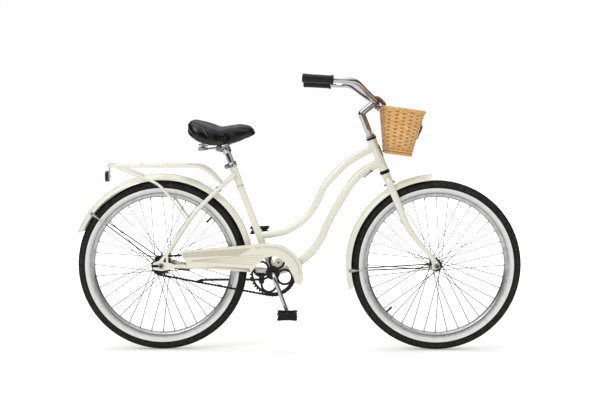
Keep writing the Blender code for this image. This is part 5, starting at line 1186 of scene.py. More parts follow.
screws = []
for x, z in ((-0.424, 0.3425), (-0.424, 0.356), (-0.143, 0.4055)):
    at = np.array([x, GUARD_Y + 0.0002, z])
    screws.append(turned(mm((4.8, 0), (4.8, 0.6), (3.6, 2), (1.4, 2.6)), at, -SIDE, 24))
    screws.append(turned(mm((6.5, -0.1), (6.5, 0.5), (3, 0.8)), at, -SIDE, 24))
put("guard_screws", gather(*screws), "frame", "guard_enamel")
# A round foot with its bolt, welded beside the bracket shell, shows through the chainring's top hole
foot = np.array([-0.0815, 0.0, 0.345])
mount = mm((16.5, -33.5), (17.5, -32.5), (17.5, -30), (16.5, -29), (6.5, -28.5), (6.5, -8))
put("guard_mount", turned(mount, foot, SIDE, 48), "frame", "cream_enamel")
put("guard_mount_bolt", hex_bolt(foot - 0.0334 * SIDE, -SIDE, 0.0042, 0.003), "frame", "dark_steel")


# ---- Rear rack and reflector ----
RACK_Z, CROSS_X = 0.725, (-0.625, -0.5235, -0.4357)
RACK_SIDE = mm((-300, 37, 646), (-325, 48, 677), (-348, 60, 700), (-370, 65.5, 715), (-395, 67, 723.5),
               (-420, 67, 725), (-560, 67, 725), (-700, 67, 725), (-720, 64, 725), (-735, 54, 725), (-742, 35, 725),
               (-744, 0, 725))
STRUT = mm((-708, 67, 723), (-690, 66.5, 712), (-623.5, 65, 685), (-555, 62, 657), (-514, 59, 617), (-478, 56, 570),
           (-434, 49.5, 507))
rail = flow(np.vstack([RACK_SIDE * (1, -1, 1), RACK_SIDE[-2::-1]]), 260)
bars = [sweep(level(x, np.linspace(-0.066, 0.066, 9), RACK_Z), 0.0042, 16, up=UP) for x in CROSS_X]
beads = [ring_on((x, s * 0.061, RACK_Z), SIDE, 0.0042, 0.0016, 0.0022) for x in CROSS_X for s in (-1, 1)]
tab = slab(eased(rect(-11, 11, 667, 727), 0.003), -0.748, -0.746, 0.0004, fronting)
foot = slab(eased(rect(-748, -740, -11, 11), 0.001), 0.724, 0.727, 0.0004, level)
put("rack_rail", gather(sweep(rail, 0.0058, 20, up=(0, 0.02, 1)), *bars, *beads, tab, foot), "frame",
    "cream_enamel", "rack")
strut = sweep(flow(STRUT, 110), 0.0053, 18, up=UP, dome=True)
put("rack_strut_bent_left", strut, "frame", "cream_enamel", "rack_strut_left")
put("rack_strut_bent_right", across(strut), "frame", "cream_enamel", "rack_strut_right")
lugs = []
for s in (-1, 1):
    lugs.append(turned(mm((7.8, -1.2), (7.8, 1.2), (6.6, 2.4), (3, 2.8)), (-0.434, s * 0.06, 0.506), (0, s, 0), 24))
    lugs.append(hex_bolt((-0.434, s * 0.0622, 0.506), (0, s, 0), 0.005, 0.0038))
put("rack_bolts", gather(*lugs), "frame", "cream_enamel")

across_x = facing((0, 0, 0.682), SIDE, UP, FORWARD)
cut_corner = eased(mm((30, 12), (22, 20), (-22, 20), (-30, 12), (-30, -12), (-22, -20), (22, -20), (30, -12)),
                   0.003)
case = washer(cut_corner, inset(cut_corner, 0.0032), -0.759, -0.7488, 0.0008, across_x)
back = slab(inset(cut_corner, 0.002), -0.752, -0.7484, 0.0006, across_x)
put("reflector_case", gather(case, back), "frame", "maroon_case", "rear_reflector")
put("reflector_lens", slab(inset(cut_corner, 0.0028), -0.76, -0.7515, 0.0012, across_x), "frame", "red_prism")
put("reflector_bolt", gather(hex_bolt((-0.7462, 0, 0.682), (1, 0, 0), 0.0052, 0.004),
                             hex_bolt((-0.7462, 0, 0.7), (1, 0, 0), 0.004, 0.003)), "frame", "zinc_plate")


# ---- Fork and headset ----
BLADE = mm((386, 0, 4), (385.2, 0, 26), (376, 0, 38), (355, 0, 43.5), (300, 0, 45.5), (210, 0.5, 47.5),
           (165, 6, 49), (114, 19, 50.5), (60, 38, 52), (28, 46.8, 52.5))
blade_line = flow([steer(*place) for place in BLADE], 120)
down = np.linspace(0, 1, 120)
flat = np.stack([np.interp(down, (0, 0.25, 1), half)
                 for half in ((0.0105, 0.01, 0.0078), (0.0135, 0.014, 0.0092))], -1)
tip_plan = (0, RAKE) + mm((36, -13.6), (36, 3.4), (4, 12), (-11, 9), (-11, 5.2), (5.2, 5.2), (5.2, -5.2),
                          (-11, -5.2), (-11, -9), (0, -33), (8, -33), (12, -16))
blade = gather(sweep(blade_line, flat, 28, up=STEER_FWD, dome=True),
               slab(eased(tip_plan, 0.0022), 0.05, 0.055, 0.0006, steer))
put("fork_blade_left_painted", blade, "fork", "cream_enamel", "fork_blade_left")
put("fork_blade_right_painted", across(blade), "fork", "cream_enamel", "fork_blade_right")

crown = turned(mm((11.5, 370), (14.8, 370.2), (16.6, 372.5), (16.8, 378), (16, 396), (16.3, 404), (17.6, 407.2),
                  (17.6, 408.4), (11.5, 408.4)), STEER_FOOT, STEER_UP, 48, ring=True)
steerer = turned(mm((11.2, 408.4), (12.7, 408.4), (12.7, 573.6), (11.2, 573.6)), STEER_FOOT, STEER_UP, 40,
                 ring=True)
put("fork_crown_brazed", crown, "fork", "cream_enamel", "fork_steerer")
race = turned(mm((12.7, 408.5), (18, 408.5), (18.7, 409.2), (18.7, 411.2), (17.2, 413.6), (12.7, 413.6)),
              STEER_FOOT, STEER_UP, 56, ring=True)
put("fork_race_and_steerer", gather(race, steerer), "fork", "dark_steel")

# Cups: pressed into the head tube's ends, a groove below the flare and a rolled lip over the balls
cup = mm((12.9, 0.3), (18.3, 0.3), (19, 0.8), (19, 1.8), (18.3, 2.4), (18.6, 3.4), (20.4, 5.2), (21.5, 6),
         (21.7, 6.8), (21.5, 7.8), (20.4, 8), (12.9, 8))
# The chrome cups take the dark steel finish: a painted dark reflection
put("headset_cup_low", turned(cup, steer(HEAD_LOW), -STEER_UP, 56, ring=True), "frame", "dark_steel",
    "headset_lower_cup", sharp=28)
put("headset_cup_high", turned(cup, steer(HEAD_HIGH), STEER_UP, 56, ring=True), "frame", "dark_steel",
    "headset_upper_cup", sharp=28)
seal = turned(mm((12.9, 7.9), (19.8, 7.9), (19.8, 8.4), (12.9, 8.4)), steer(HEAD_HIGH), STEER_UP, 56, ring=True)
put("headset_seal", seal, "frame", "moulded_black")


def knurled(low, high, radius, teeth, depth):
    """Ring with a milled edge about the steering axis: r = radius + depth cos(teeth a)."""
    a = around(teeth * 6)
    rows = []
    for r, s in ((radius - 0.0008, low), (radius, low + 0.0006), (radius, high - 0.0006), (radius - 0.0008, high)):
        reach = r + depth * np.cos(teeth * a)
        rows.append(steer(s, *polar(reach, a).T))
    return outward(grid(np.stack(rows), caps=True))


lock = turned(mm((12, 566.8), (17.2, 566.8), (17.8, 567.2), (17.8, 572.6), (16, 574.8), (12, 575.1)), STEER_FOOT,
              STEER_UP, 6, ring=True)
tab_washer = turned(mm((12, 565.3), (18.6, 565.3), (18.6, 566.6), (12, 566.6)), STEER_FOOT, STEER_UP, 56, ring=True)
put("headset_nuts", gather(knurled(0.5606, 0.5651, 0.0184, 40, 0.0003), lock), "fork", "chrome", "headset_locknut")
put("headset_tab_washer", tab_washer, "fork", "dark_steel")

# The crown bolt runs fore and aft through the crown, a dome nut at the back and a hexagon in front
crown_bolt = gather(wires(steer(0.366, -0.02), steer(0.366, 0.019), 0.0028, 16),
                    turned(mm((6.2, 0), (6.2, 1), (5, 1.4), (4.8, 5.2), (3, 7.4)), steer(0.366, -0.0166),
                           -STEER_FWD, 24),
                    turned(mm((6.6, 0), (6.6, 1)), steer(0.366, 0.0166), STEER_FWD, 24),
                    hex_bolt(steer(0.366, 0.0176), STEER_FWD, 0.0055, 0.004))
put("fork_crown_bolt", crown_bolt, "fork", "zinc_plate")


def badge_sheet(low, high, angle, radius, thick):
    """Blank shield bent round the head tube: at height v, -1 at its foot to 1, it spans a share of the angle.

    The share is 1 - 0.10 v^6 above the middle and 1 - 0.62 |v|^2.6 below it.
    """
    v = np.linspace(-1, 1, 41)[:, None]
    width = math.radians(angle) * (1 - 0.1 * np.clip(v, 0, 1) ** 6 - 0.62 * np.clip(-v, 0, 1) ** 2.6)
    a = width * np.linspace(-1, 1, 31)[None]
    s = low + (high - low) * (v + 1) / 2 + 0.0025 * (a / math.radians(angle)) ** 2 * np.clip(v, 0, 1)
    points = steer(s, radius * np.cos(a), radius * np.sin(a))
    return sheet(points, thick), np.vstack([points[0], points[1:, -1], points[-1, -2::-1], points[-2:0:-1, 0]])


field, rim_line = badge_sheet(0.476, 0.522, 34.0, 0.0184, 0.001)
inner, inner_line = badge_sheet(0.483, 0.515, 21.0, 0.0187, 0.0006)
pins = [turned(mm((1.6, -1), (1.6, 0.3), (0.8, 0.9)), steer(s, 0.0187), STEER_FWD, 16) for s in (0.4795, 0.5185)]
put("head_badge_cast", gather(field, sweep(rim_line, 0.0007, 8, up=STEER_FWD, closed=True),
                              sweep(inner_line, 0.0004, 8, up=STEER_FWD, closed=True), inner, *pins), "frame",
    "aged_pewter", "head_badge")

# Axles: threaded ends, washers and flanged nuts, and what sits inside the rear hub
for end, centre, body, half, nut_y in (("front", FRONT_HUB, "fork", 0.07, 0.0553),
                                       ("rear", REAR_HUB, "frame", 0.076, 0.0603)):
    nuts, thread = [], []
    for s in (-1, 1):
        out = s * SIDE
        nuts.append(turned(mm((5.2, 0), (10.8, 0), (11.2, 0.6), (11.2, 1.4), (5.2, 1.6)), centre + nut_y * out, out,
                           40, ring=True))
        nuts.append(hex_bolt(centre + (nut_y + 0.0014) * out, out, 0.0096, 0.0078))
        h = np.arange(nut_y, half - 0.0004, 0.0002)
        r = 0.0047 + 0.0003 * np.abs(((h / 0.001) % 1) * 2 - 1)
        rows = np.vstack([np.stack([r, h], -1), [(0.004, half)]])
        thread.append(turned(rows, centre, out, 20))
    bar = turned([(0.0049, -nut_y), (0.0049, nut_y)], centre, SIDE, 24)
    put(end + "_axle_bar", gather(bar, *thread), body, "dark_steel", end + "_axle")
    put(end + "_axle_nuts", gather(*nuts), body, "zinc_plate")
cone = turned(mm((5.6, 10), (12.5, 10), (14.6, 30), (15, 33), (15, 37), (11, 37.6), (11, 45), (5.6, 45)), REAR_HUB,
              SIDE, 40, ring=True)
put("rear_brake_cone", cone, "frame", "dark_steel")
shoe = turned(mm((13.1, -24), (15.9, -24), (15.9, 8), (13.1, 8)), REAR_HUB, SIDE, 48, ring=True)
put("rear_brake_shoes", shoe, "frame", "aged_pewter", "brake_shoes")


# ---- Fender stays ----
def stay(centre, eye, eye_y, radius, degrees):
    """One bent wire: eyelet, up beside the wheel, in over the tyre's edge, under the crown and down the other side."""
    out = upright(*polar(1, np.radians(degrees)))
    skirt, under = radius - 0.02, radius - 0.0078
    foot = centre + upright(*eye, eye_y)
    high = centre + (skirt - 0.012) * out
    half = [foot, (foot * (1, 0, 1) + high) / 2 + (eye_y + 0.036) / 2 * SIDE, high + 0.0355 * SIDE,
            centre + (skirt - 0.002) * out + 0.0275 * SIDE, centre + under * out + 0.013 * SIDE]
    line = flow(np.array(half + [centre + under * out] + [p * (1, -1, 1) for p in half[::-1]]), 150)
    wire = sweep(line, 0.0024, 12, up=UP + 0.3 * out)
    loops, bolts, clips = [], [], []
    for s in (-1, 1):
        at, side = foot * (1, s, 1), s * SIDE
        loops.append(turned(mm((3.1, -1.6), (5.8, -2.2), (6.6, 0), (5.8, 2.2), (3.1, 1.6)), at, SIDE, 28,
                            ring=True))
        bolts.append(hex_bolt(at + 0.0018 * side, side, 0.005, 0.0036))
        bolts.append(turned(mm((2.8, -11), (2.8, 2)), at, side, 14))
        # The clip: a folded strap over the wire where it turns in, with its screw through the fender's edge
        on_clip = facing(centre + (skirt + 0.0005) * out + 0.0318 * side, np.cross(SIDE, out), out, side)
        shape = eased(mm((-5.5, -19), (5.5, -19), (6.5, 9), (-6.5, 9)), 0.003)
        clips.append(slab(shape, 0.0, 0.0016, 0.0004, on_clip))
        bolts.append(turned(mm((4, 0), (3.6, 1.4), (1.6, 2.2)), on_clip(0.0, 0.0035, 0.0014), side, 20))
        bolts.append(turned(mm((3.4, 0), (3, 1.2), (1.4, 1.8)), on_clip(0.0, -0.012, 0.0014), side, 20))
    return gather(wire, *loops), gather(*bolts), gather(*clips)


for end, centre, body, eye, eye_y, radius, degrees in (
        ("rear", REAR_HUB, "frame", (-0.027, 0.024), 0.0636, REAR_FENDER_R, 143.5),
        ("front", FRONT_HUB, "fork", (-0.027, -0.004), 0.0586, FRONT_FENDER_R, 183.5)):
    wire, bolts, clips = stay(centre, eye, eye_y, radius, degrees)
    put(end + "_fender_stay_wire", wire, body, "stay_wire", end + "_fender_stay")
    put(end + "_fender_stay_bolts", bolts, body, "zinc_plate")
    put(end + "_fender_stay_clips", clips, body, "zinc_plate")


# ---- Stem, handlebar and grips ----
CLAMP = np.array([0.2989, 0.0, 0.9752])
knee = steer(0.662)
rise = unit(CLAMP - knee)
arm = flow([steer(0.46), steer(0.52), steer(0.58), steer(0.63), steer(0.65), steer(0.663, 0.004),
            CLAMP - 0.035 * rise, CLAMP - 0.01 * rise], 110)
above = np.clip((np.linalg.norm(arm - steer(0.46), axis=1) - 0.114) / 0.016, 0, 1)
stem = sweep(arm, 0.0109 + 0.0026 * above, 32)
collar = turned(mm((12.4, -21), (16.3, -21), (17, -20.2), (17, 20.2), (16.3, 21), (12.4, 21)), CLAMP, SIDE, 56,
                ring=True)
ear_way = unit(np.array([0.1, 0.0, -1.0]))
ears = slab(eased(mm((-6.2, 10), (6.2, 10), (7, 29), (-6.6, 29)), 0.0035), -0.011, 0.011, 0.0008,
            facing(CLAMP, np.cross(SIDE, ear_way), ear_way))
put("stem_forged", gather(stem, collar, ears), "fork", "chrome", "stem")
pinch = CLAMP + 0.0215 * ear_way
put("stem_pinch_bolt", gather(*[hex_bolt(pinch + s * 0.0108 * SIDE, s * SIDE, 0.0056, 0.0046) for s in (-1, 1)]),
    "fork", "zinc_plate")

bar_half = mm((298.9, 0, 975.2), (298.9, 30, 975.2), (298.6, 56, 975.2), (288.5, 85, 981.2), (256, 170, 1006.8),
              (221.5, 248, 1036.3), (198, 283, 1046), (165, 302, 1048.3), (127, 311, 1049.5), (20, 329.2, 1055.7))
bar_line = flow(np.vstack([bar_half[:0:-1] * (1, -1, 1), bar_half]), 260)
waist = 0.0111 + 0.0006 * np.exp(-(bar_line[:, 1] / 0.042) ** 8)
put("handlebar_bent", sweep(bar_line, waist, 32, up=UP), "fork", "chrome", "handlebar")

grip_from, grip_to = np.array([0.127, 0.311, 1.0495]), np.array([0.015, 0.33, 1.056])
grip_way = unit(grip_to - grip_from)
grip_long = np.linalg.norm(grip_to - grip_from) - 0.0005
h = np.linspace(0.013, grip_long - 0.02, 180)
ribs = np.stack([0.0157 + 0.0004 * np.cos(2 * np.pi * h / 0.0042), h], -1)
grip_rows = np.vstack([mm((11.3, 0), (17.6, 0), (18.1, 0.8), (18.1, 4.2), (17.6, 5), (16.4, 6.2), (16, 8),
                          (16.6, 9), (16.6, 10.6), (15.8, 11.6)), ribs,
                       (0, grip_long) + mm((15.8, -18.6), (16.7, -17.6), (16.7, -15), (15.9, -14), (15.9, -10),
                                           (16.8, -9), (16.8, -3), (15.6, -0.6), (11, 0), (3, -0.8))])
grip = turned(grip_rows, grip_from, grip_way, 56)
put("grip_moulded_left", grip, "fork", "grip_rubber", "grip_left", sharp=50)
put("grip_moulded_right", across(grip), "fork", "grip_rubber", "grip_right", sharp=50)


# ---- Wicker basket ----
BASKET_TILT = math.radians(7.6)
BASKET_FWD = upright(math.cos(BASKET_TILT), -math.sin(BASKET_TILT))
BASKET_UP = upright(math.sin(BASKET_TILT), math.cos(BASKET_TILT))
BASKET_TOP, BASKET_H = np.array([0.3175, 0.0, 0.959]), 0.18
STAKES = 28
# Point u forwards of the back's top edge, y across and h above the floor
in_basket = facing(BASKET_TOP - BASKET_H * BASKET_UP, BASKET_FWD, SIDE, BASKET_UP)


def basket_plan(h, inwards):
    """The wall's outline at a height: a straight back, rounded sides and a bowed front, all growing with h."""
    share = h / BASKET_H
    depth = 0.102 + 0.07 * share - 2 * inwards
    half = 0.115 + 0.035 * share - inwards
    a = np.radians([90, 66, 40, 18, 0])
    rear = 0.12 * depth
    u = np.concatenate([0.58 * depth + 0.42 * depth * np.sin(a), [rear, 0.3 * rear, 0.0]])
    y = np.concatenate([half * (1 - 0.45 * (1 - np.cos(a))), [half, half - 0.3 * rear, half - rear]])
    return np.concatenate([u, u[::-1]]) + 0.04 * (1 - share) + inwards, np.concatenate([y, -y[::-1]])


def basket_ring(h, inwards, count):
    """Even points along the outline's corners made round, from the middle of the back."""
    u, y = basket_plan(h, inwards)
    loop = eased(np.stack([u, y], -1), 0.02, steps=4)
    loop = np.roll(loop, -np.argmin(np.abs(loop[:, 1]) + 9 * loop[:, 0]), 0)
    return spaced(np.vstack([loop, loop[:1]]), count, closed=True)


def cane(h, offset, lift, radius, count, sides=8, tone=0.0):
    """One cane round the basket and its tones: painted shade towards the back and where it dives behind a stake.

    Offset moves it outwards and lift upwards at each of its points.
    """
    ring = inset(basket_ring(h, 0.003, count), -offset[:, None])
    path = in_basket(ring[:, 0], ring[:, 1], h + lift)
    back_shade = 0.35 * np.clip(1 - (ring[:, 0] - 0.04 * (1 - h / BASKET_H)) / 0.02, 0, 1)
    dive_shade = np.clip(-0.3 - offset / max(np.abs(offset).max(), 1e-6), 0, 1) / 0.7
    tones = np.clip(tone + back_shade + 0.62 * dive_shade + 0.05 * np.sin(9 * np.arange(count) / count * 2 * np.pi + 40 * tone),
                    0, 1)
    return sweep(path, radius, sides, up=BASKET_UP, closed=True), np.repeat(tones, sides)


def weave_in(piece, tone):
    """Adds to the basket a piece and how dark it is, one tone for all of it or one for each point."""
    parts.append(piece)
    tones.append(np.broadcast_to(tone, len(piece[0])))


chance = np.random.default_rng(7)
parts, tones = [], []
count = STAKES * 12
turn = around(count)
for k, h in enumerate(np.linspace(0.0345, 0.165, 20)):
    sway = np.cos(STAKES / 2 * turn + (k % 2) * np.pi)
    sway = np.sign(sway) * np.abs(sway) ** 3
    wander = (0.0003 * np.sin(5 * turn + chance.uniform(0, 6.3))
              + 0.0002 * np.sin(17 * turn + chance.uniform(0, 6.3)))
    weave_in(*cane(h, 0.0024 * sway, wander, [(0.002, 0.0034)], count, 8, chance.uniform(0.0, 0.16)))
# Twisted bands: canes wound round one another, above the floor and under the rim
for h, spin, ways, lay, thick in ((0.005, 34, 3, 0.003, 0.003), (0.0165, 30, 2, 0.0026, 0.0028),
                                  (0.0262, -30, 2, 0.0026, 0.0028), (0.1735, 40, 4, 0.0042, 0.0032)):
    for k in range(ways):
        a = spin * turn + 2 * np.pi * k / ways
        weave_in(*cane(h, lay * np.cos(a), lay * np.sin(a), thick, count, 8, chance.uniform(0.05, 0.4)))
# Stakes stand in the weave, every other one on either side of a cane, in a darker tone that is painted shade
low_ring, high_ring = basket_ring(0.003, 0.003, STAKES), basket_ring(0.172, 0.003, STAKES)
weave_in(wires(in_basket(*low_ring.T, 0.003), in_basket(*high_ring.T, 0.172), 0.002, 8), 0.6)
# The floor: canes from side to side over and under nine sticks
edge_u, edge_y = basket_plan(0.0, 0.005)
edge_u, edge_y = edge_u[:8][::-1], edge_y[:8][::-1]
for k, u in enumerate(np.linspace(edge_u.min() + 0.004, edge_u.max() - 0.003, 20)):
    reach = np.interp(u, edge_u, edge_y)
    y = np.linspace(-reach, reach, 60)
    line = in_basket(u, y, 0.004 + 0.0012 * np.cos(np.pi * y / 0.024 + k * np.pi))
    weave_in(sweep(line, [(0.0024, 0.0014)], 8, up=BASKET_UP), chance.uniform(0.1, 0.45))
sticks_y = np.arange(-4, 5) * 0.024
weave_in(wires(in_basket(edge_u.min() + 0.002, sticks_y, 0.004),
               in_basket(edge_u.max() - 0.006 - 0.04 * np.abs(sticks_y), sticks_y, 0.004), 0.0016, 8), 0.5)
put("basket_woven", gather(*parts), "fork", "woven_cane", "basket", sharp=60, shade=np.concatenate(tones))


# ---- Leather straps ----
def strap(path, across, width, thick, ease=0.0006):
    """Leather strap along a path: its width lies along the across vectors, and its cut edge is a rounded oblong."""
    path = np.asarray(path, float)
    along = unit(np.gradient(path, axis=0))
    across = unit(across - np.sum(across * along, 1)[:, None] * along)
    normal = np.cross(along, across)
    half = width / 2
    edge = np.array([(half - ease, -0.5), (half, -0.25), (half, 0.25), (half - ease, 0.5), (ease - half, 0.5),
                     (-half, 0.25), (-half, -0.25), (ease - half, -0.5)])
    rows = path[:, None] + edge[None, :, :1] * across[:, None] + edge[None, :, 1:] * thick * normal[:, None]
    return outward(grid(rows, caps=True))


def band(line, width, thick, centre_y, turn=0.0):
    """Strap along (x, z) points; turn tips its width from level, in degrees, most at the middle: turn sin(pi t)."""
    line = np.asarray(line, float)
    path = upright(*line.T, centre_y)
    a = np.radians(turn) * np.sin(np.pi * np.linspace(0, 1, len(line)))
    step = np.gradient(path, axis=0)
    up = unit(np.cross(step, SIDE))
    return strap(path, np.cos(a)[:, None] * SIDE + np.sin(a)[:, None] * up, width, thick)


def stitches(line, centre_y, lift, pitch=0.0042, length=0.0026, radius=0.0004):
    """Saddle stitch along (x, z) points: one short capsule every pitch, standing off the leather."""
    line = flow(np.asarray(line, float), max(3, int(np.sum(np.linalg.norm(np.diff(line, axis=0), axis=1)) / pitch)))
    step = unit(np.gradient(line, axis=0))
    at = line + lift * quarter(step)
    ends = [upright(*(at + way * step * length / 2).T, centre_y) for way in (-1, 1)]
    return wires(*ends, radius, 6)


def spots(*places):
    """Points (x, z) for (u, h) places in the basket's middle plane, given in millimetres."""
    u, h = mm(*places).T
    return in_basket(u, 0.0, h)[:, [0, 2]]


def round_bar(radius, *degrees):
    return xz(CLAMP) + polar(radius, np.radians(degrees))


under_layer = flow(np.vstack([spots((-7.5, 158), (-7, 170), (-6.2, 182)),
                              round_bar(0.0135, 250, 215, 180, 145, 110, 75, 45),
                              spots((6.5, 187.5), (12, 179), (13.5, 156))]), 90)
over_layer = flow(np.vstack([round_bar(0.016, 160, 125, 90, 60, 38), spots((10, 192.5), (16, 185), (17.5, 172))]),
                  60)
hang = flow(spots((-9, 186), (-9.8, 181), (-9.8, 176), (-10, 170)), 30)
for name, side in BOTH_SIDES:
    y = side * 0.046
    leather = [band(under_layer, 0.019, 0.0026, y), band(over_layer, 0.018, 0.003, y, 34.0),
               band(hang, 0.018, 0.0026, y)]
    # Keeper: a narrow loop round both layers, square to the strap
    keeper_at = spots((4, 193.5))[0] * 0.55 + round_bar(0.0147, 48)[0] * 0.45
    way = unit(spots((10, 192.5))[0] - round_bar(0.016, 38)[0])
    loop = eased(rect(-10.4, 10.4, -3.4, 4), 0.0016)
    hole = eased(rect(-9.1, 9.1, -2.2, 2.8), 0.0008)
    on_keeper = facing(upright(*keeper_at, y), SIDE, upright(*quarter(way)), upright(*way))
    leather.append(washer(loop, hole, -0.005, 0.005, 0.0004, on_keeper))
    put("basket_strap_leather_" + name, gather(*leather), "fork", "bridle_leather", "basket_strap_" + name)
    sewn = [stitches(line, y + k * 0.0066, lift) for k in (-1, 1)
            for line, lift in ((over_layer[6:], 0.001), (hang, 0.001), (hang, -0.001))]
    put("basket_strap_stitches_" + name, gather(*sewn), "fork", "cream_thread")
    frame_line = eased(rect(-11.2, 11.2, -7.5, 7.5), 0.0022)
    at = in_basket(-0.0112, y, 0.179)
    frame_path = facing(at, SIDE, BASKET_UP)(*frame_line.T)
    tongue = wires(at + 0.0075 * BASKET_UP - 0.0006 * BASKET_FWD, at - 0.008 * BASKET_UP - 0.0014 * BASKET_FWD,
                   0.0011, 10)
    put("basket_buckle_" + name, gather(sweep(frame_path, 0.0014, 10, up=BASKET_FWD, closed=True), tongue), "fork",
        "chrome")

# A closing strap hangs on the basket's front, its tongue through a small buckle
front = flow(spots((152.5, 64), (157, 78), (161.5, 93), (166, 109), (169.2, 125), (166, 134)), 40)
front_over = flow(spots((159.5, 72), (163.2, 83), (167.5, 96), (171.2, 111), (172.5, 123)), 30)
put("basket_front_strap", gather(band(front, 0.021, 0.004, 0.0), band(front_over, 0.019, 0.004, 0.0)), "fork",
    "bridle_leather")
put("basket_front_stitches", gather(*[stitches(front_over, k * 0.0062, -0.0014) for k in (-1, 1)]), "fork",
    "cream_thread")
at = in_basket(0.1655, 0.0, 0.09)
frame_path = facing(at, SIDE, unit(BASKET_UP + 0.35 * BASKET_FWD))(*frame_line.T)
put("basket_front_buckle", sweep(frame_path, 0.0013, 10, up=BASKET_FWD, closed=True), "fork", "chrome")

# A ring hangs from a short loop of leather on the bar's near side
ring_at = np.array([0.2965, -0.064, 0.9545])
ring_line = upright(*circle(xz(ring_at), 0.0092, 48).T, ring_at[1])
put("bar_ring", sweep(ring_line, 0.0014, 12, up=SIDE, closed=True), "fork", "chrome")
loop_line = circle((0.298, 0.9745), 0.0128, 48)
put("bar_ring_loop", band(np.vstack([loop_line, loop_line[:2]]), 0.008, 0.0018, ring_at[1]), "fork",
    "bridle_leather")

# A painted shadow line along the down tube's lower edge: a thin black rod with a ball end
shadow_rod_from, shadow_rod_to = np.array([0.253, -0.015, 0.679]), np.array([0.283, -0.0215, 0.7035])
ball = turned(mm((0.6, -4.2), (3, -3), (4.3, 0), (3, 3), (0.6, 4.2)), shadow_rod_to, shadow_rod_to - shadow_rod_from, 20)
put("pump_peg", gather(wires(shadow_rod_from, shadow_rod_to, 0.0019, 12), ball), "frame", "black_enamel")


# ---- Seat post, saddle clamp, rails and springs ----
put("seat_post_tube", turned(mm((11, 330), (12.7, 330.4), (12.7, 525), (11.8, 527), (10.4, 527), (10.4, 330)), BB,
                             SEAT_UP, 48, ring=True), "seat_post", "chrome", "seat_post")
clamp_band = turned(mm((14.2, 442.6), (17.2, 442.6), (18, 443.4), (18, 445.4), (17.5, 446.2), (17.5, 458.6),
                       (18, 459.4), (18, 461.4), (17.2, 462.2), (14.2, 462.2)), BB, SEAT_UP, 56, ring=True)
ear = eased(mm((444, -16.5), (444, -25), (449, -28.5), (457, -28), (460.8, -24), (460.8, -16.5)), 0.0035)
ears = [slab(ear, low, high, 0.0006, seat) for low, high in ((-0.0085, -0.0022), (0.0022, 0.0085))]
pin_at = seat(0.4524, -0.0215, 0.0)
clamp_bolt = [turned(mm((4.5, -15), (4.5, 15)), pin_at, SIDE, 20),
              turned(mm((6, 0), (8.8, 0.8), (9.2, 2.2), (9.2, 7), (7.8, 9.2), (3, 10)), pin_at - 0.0086 * SIDE,
                     -SIDE, 40),
              hex_bolt(pin_at + 0.0086 * SIDE, SIDE, 0.0085, 0.0075)]
put("seat_clamp_band", gather(clamp_band, *ears), "frame", "chrome", "seat_clamp")
put("seat_clamp_bolt", gather(*clamp_bolt), "frame", "zinc_plate")

RAIL = mm((-390, 34, 785.5), (-382, 34, 786), (-350, 25, 791), (-325, 22, 793), (-302, 22, 794.5), (-280, 22, 804),
          (-250, 19.5, 818), (-215, 12, 832), (-202, 9, 838))
rail = sweep(flow(RAIL, 90), 0.0035, 16, dome=True)
spring_plate = slab(eased(mm((-392, -68), (-360, -68), (-356, -30), (-360, 0), (-356, 30), (-360, 68), (-392, 68),
                             (-388, 30), (-388, -30)), 0.006), 0.786, 0.7884, 0.0006, level)
nose_pin = turned(mm((5, -15), (5, 15)), (-0.2, 0.0, 0.8387), SIDE, 24)
at = np.array([-0.314, 0.0, 0.792])
rows = mm((8.5, 0), (8.5, 12), (12.5, 12.4), (12.5, 17), (11.5, 17.6), (11.5, 18), (12.8, 18.6), (12.8, 23.6),
          (11.2, 24.6), (6, 24.8))
clamp = both(turned(rows, at, SIDE, 48))
saddle_nuts = both(gather(turned(mm((10, 0), (10.4, 0.8), (10.4, 1.4), (6, 1.6)), at + 0.0248 * SIDE, SIDE, 32),
                          hex_bolt(at + 0.026 * SIDE, SIDE, 0.0082, 0.0062)))
sleeve = turned(mm((12.9, 501), (16.8, 501.4), (17.5, 503), (17.5, 524), (16.5, 527.5), (12.9, 528)), BB, SEAT_UP,
                48, ring=True)
cheeks = [slab(eased(mm((-318, 780), (-300, 776), (-296, 786), (-302, 797), (-319, 799), (-325, 789)), 0.005),
               low, high, 0.0006) for low, high in ((-0.0122, -0.009), (0.009, 0.0122))]
put("saddle_rails", gather(both(rail), spring_plate, nose_pin), "seat_post", "chrome", "saddle_frame")
put("saddle_clamp_discs", clamp, "seat_post", "zinc_plate")
put("saddle_clamp_sleeve", gather(sleeve, *cheeks), "seat_post", "chrome")
put("saddle_clamp_nuts", saddle_nuts, "seat_post", "zinc_plate")

t = np.linspace(0, 1, 150)
lift = 0.7913 + 0.0505 * (t - 0.03 * np.sin(2 * np.pi * t))
for name, side in BOTH_SIDES:
    turn_at = 2 * np.pi * 4.5 * t
    reach = 0.0125 - 0.0012 * np.abs(2 * t - 1) ** 6
    line = level(SPRING_X + reach * np.cos(turn_at), side * (SPRING_Y + reach * np.sin(turn_at)), lift)
    coil = put("saddle_coil_" + name, sweep(line, 0.0019, 12, up=UP, dome=True), "seat_post", "chrome",
               "saddle_spring_" + name)
    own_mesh(coil)
    foot = turned(mm((3, 0), (15, 0), (15.6, 1), (15.6, 4), (14.6, 4), (14, 1.4), (3, 1.4)),
                  (SPRING_X, side * SPRING_Y, 0.7884), UP, 40, ring=True)
    put("saddle_spring_cup_" + name, foot, "seat_post", "chrome")


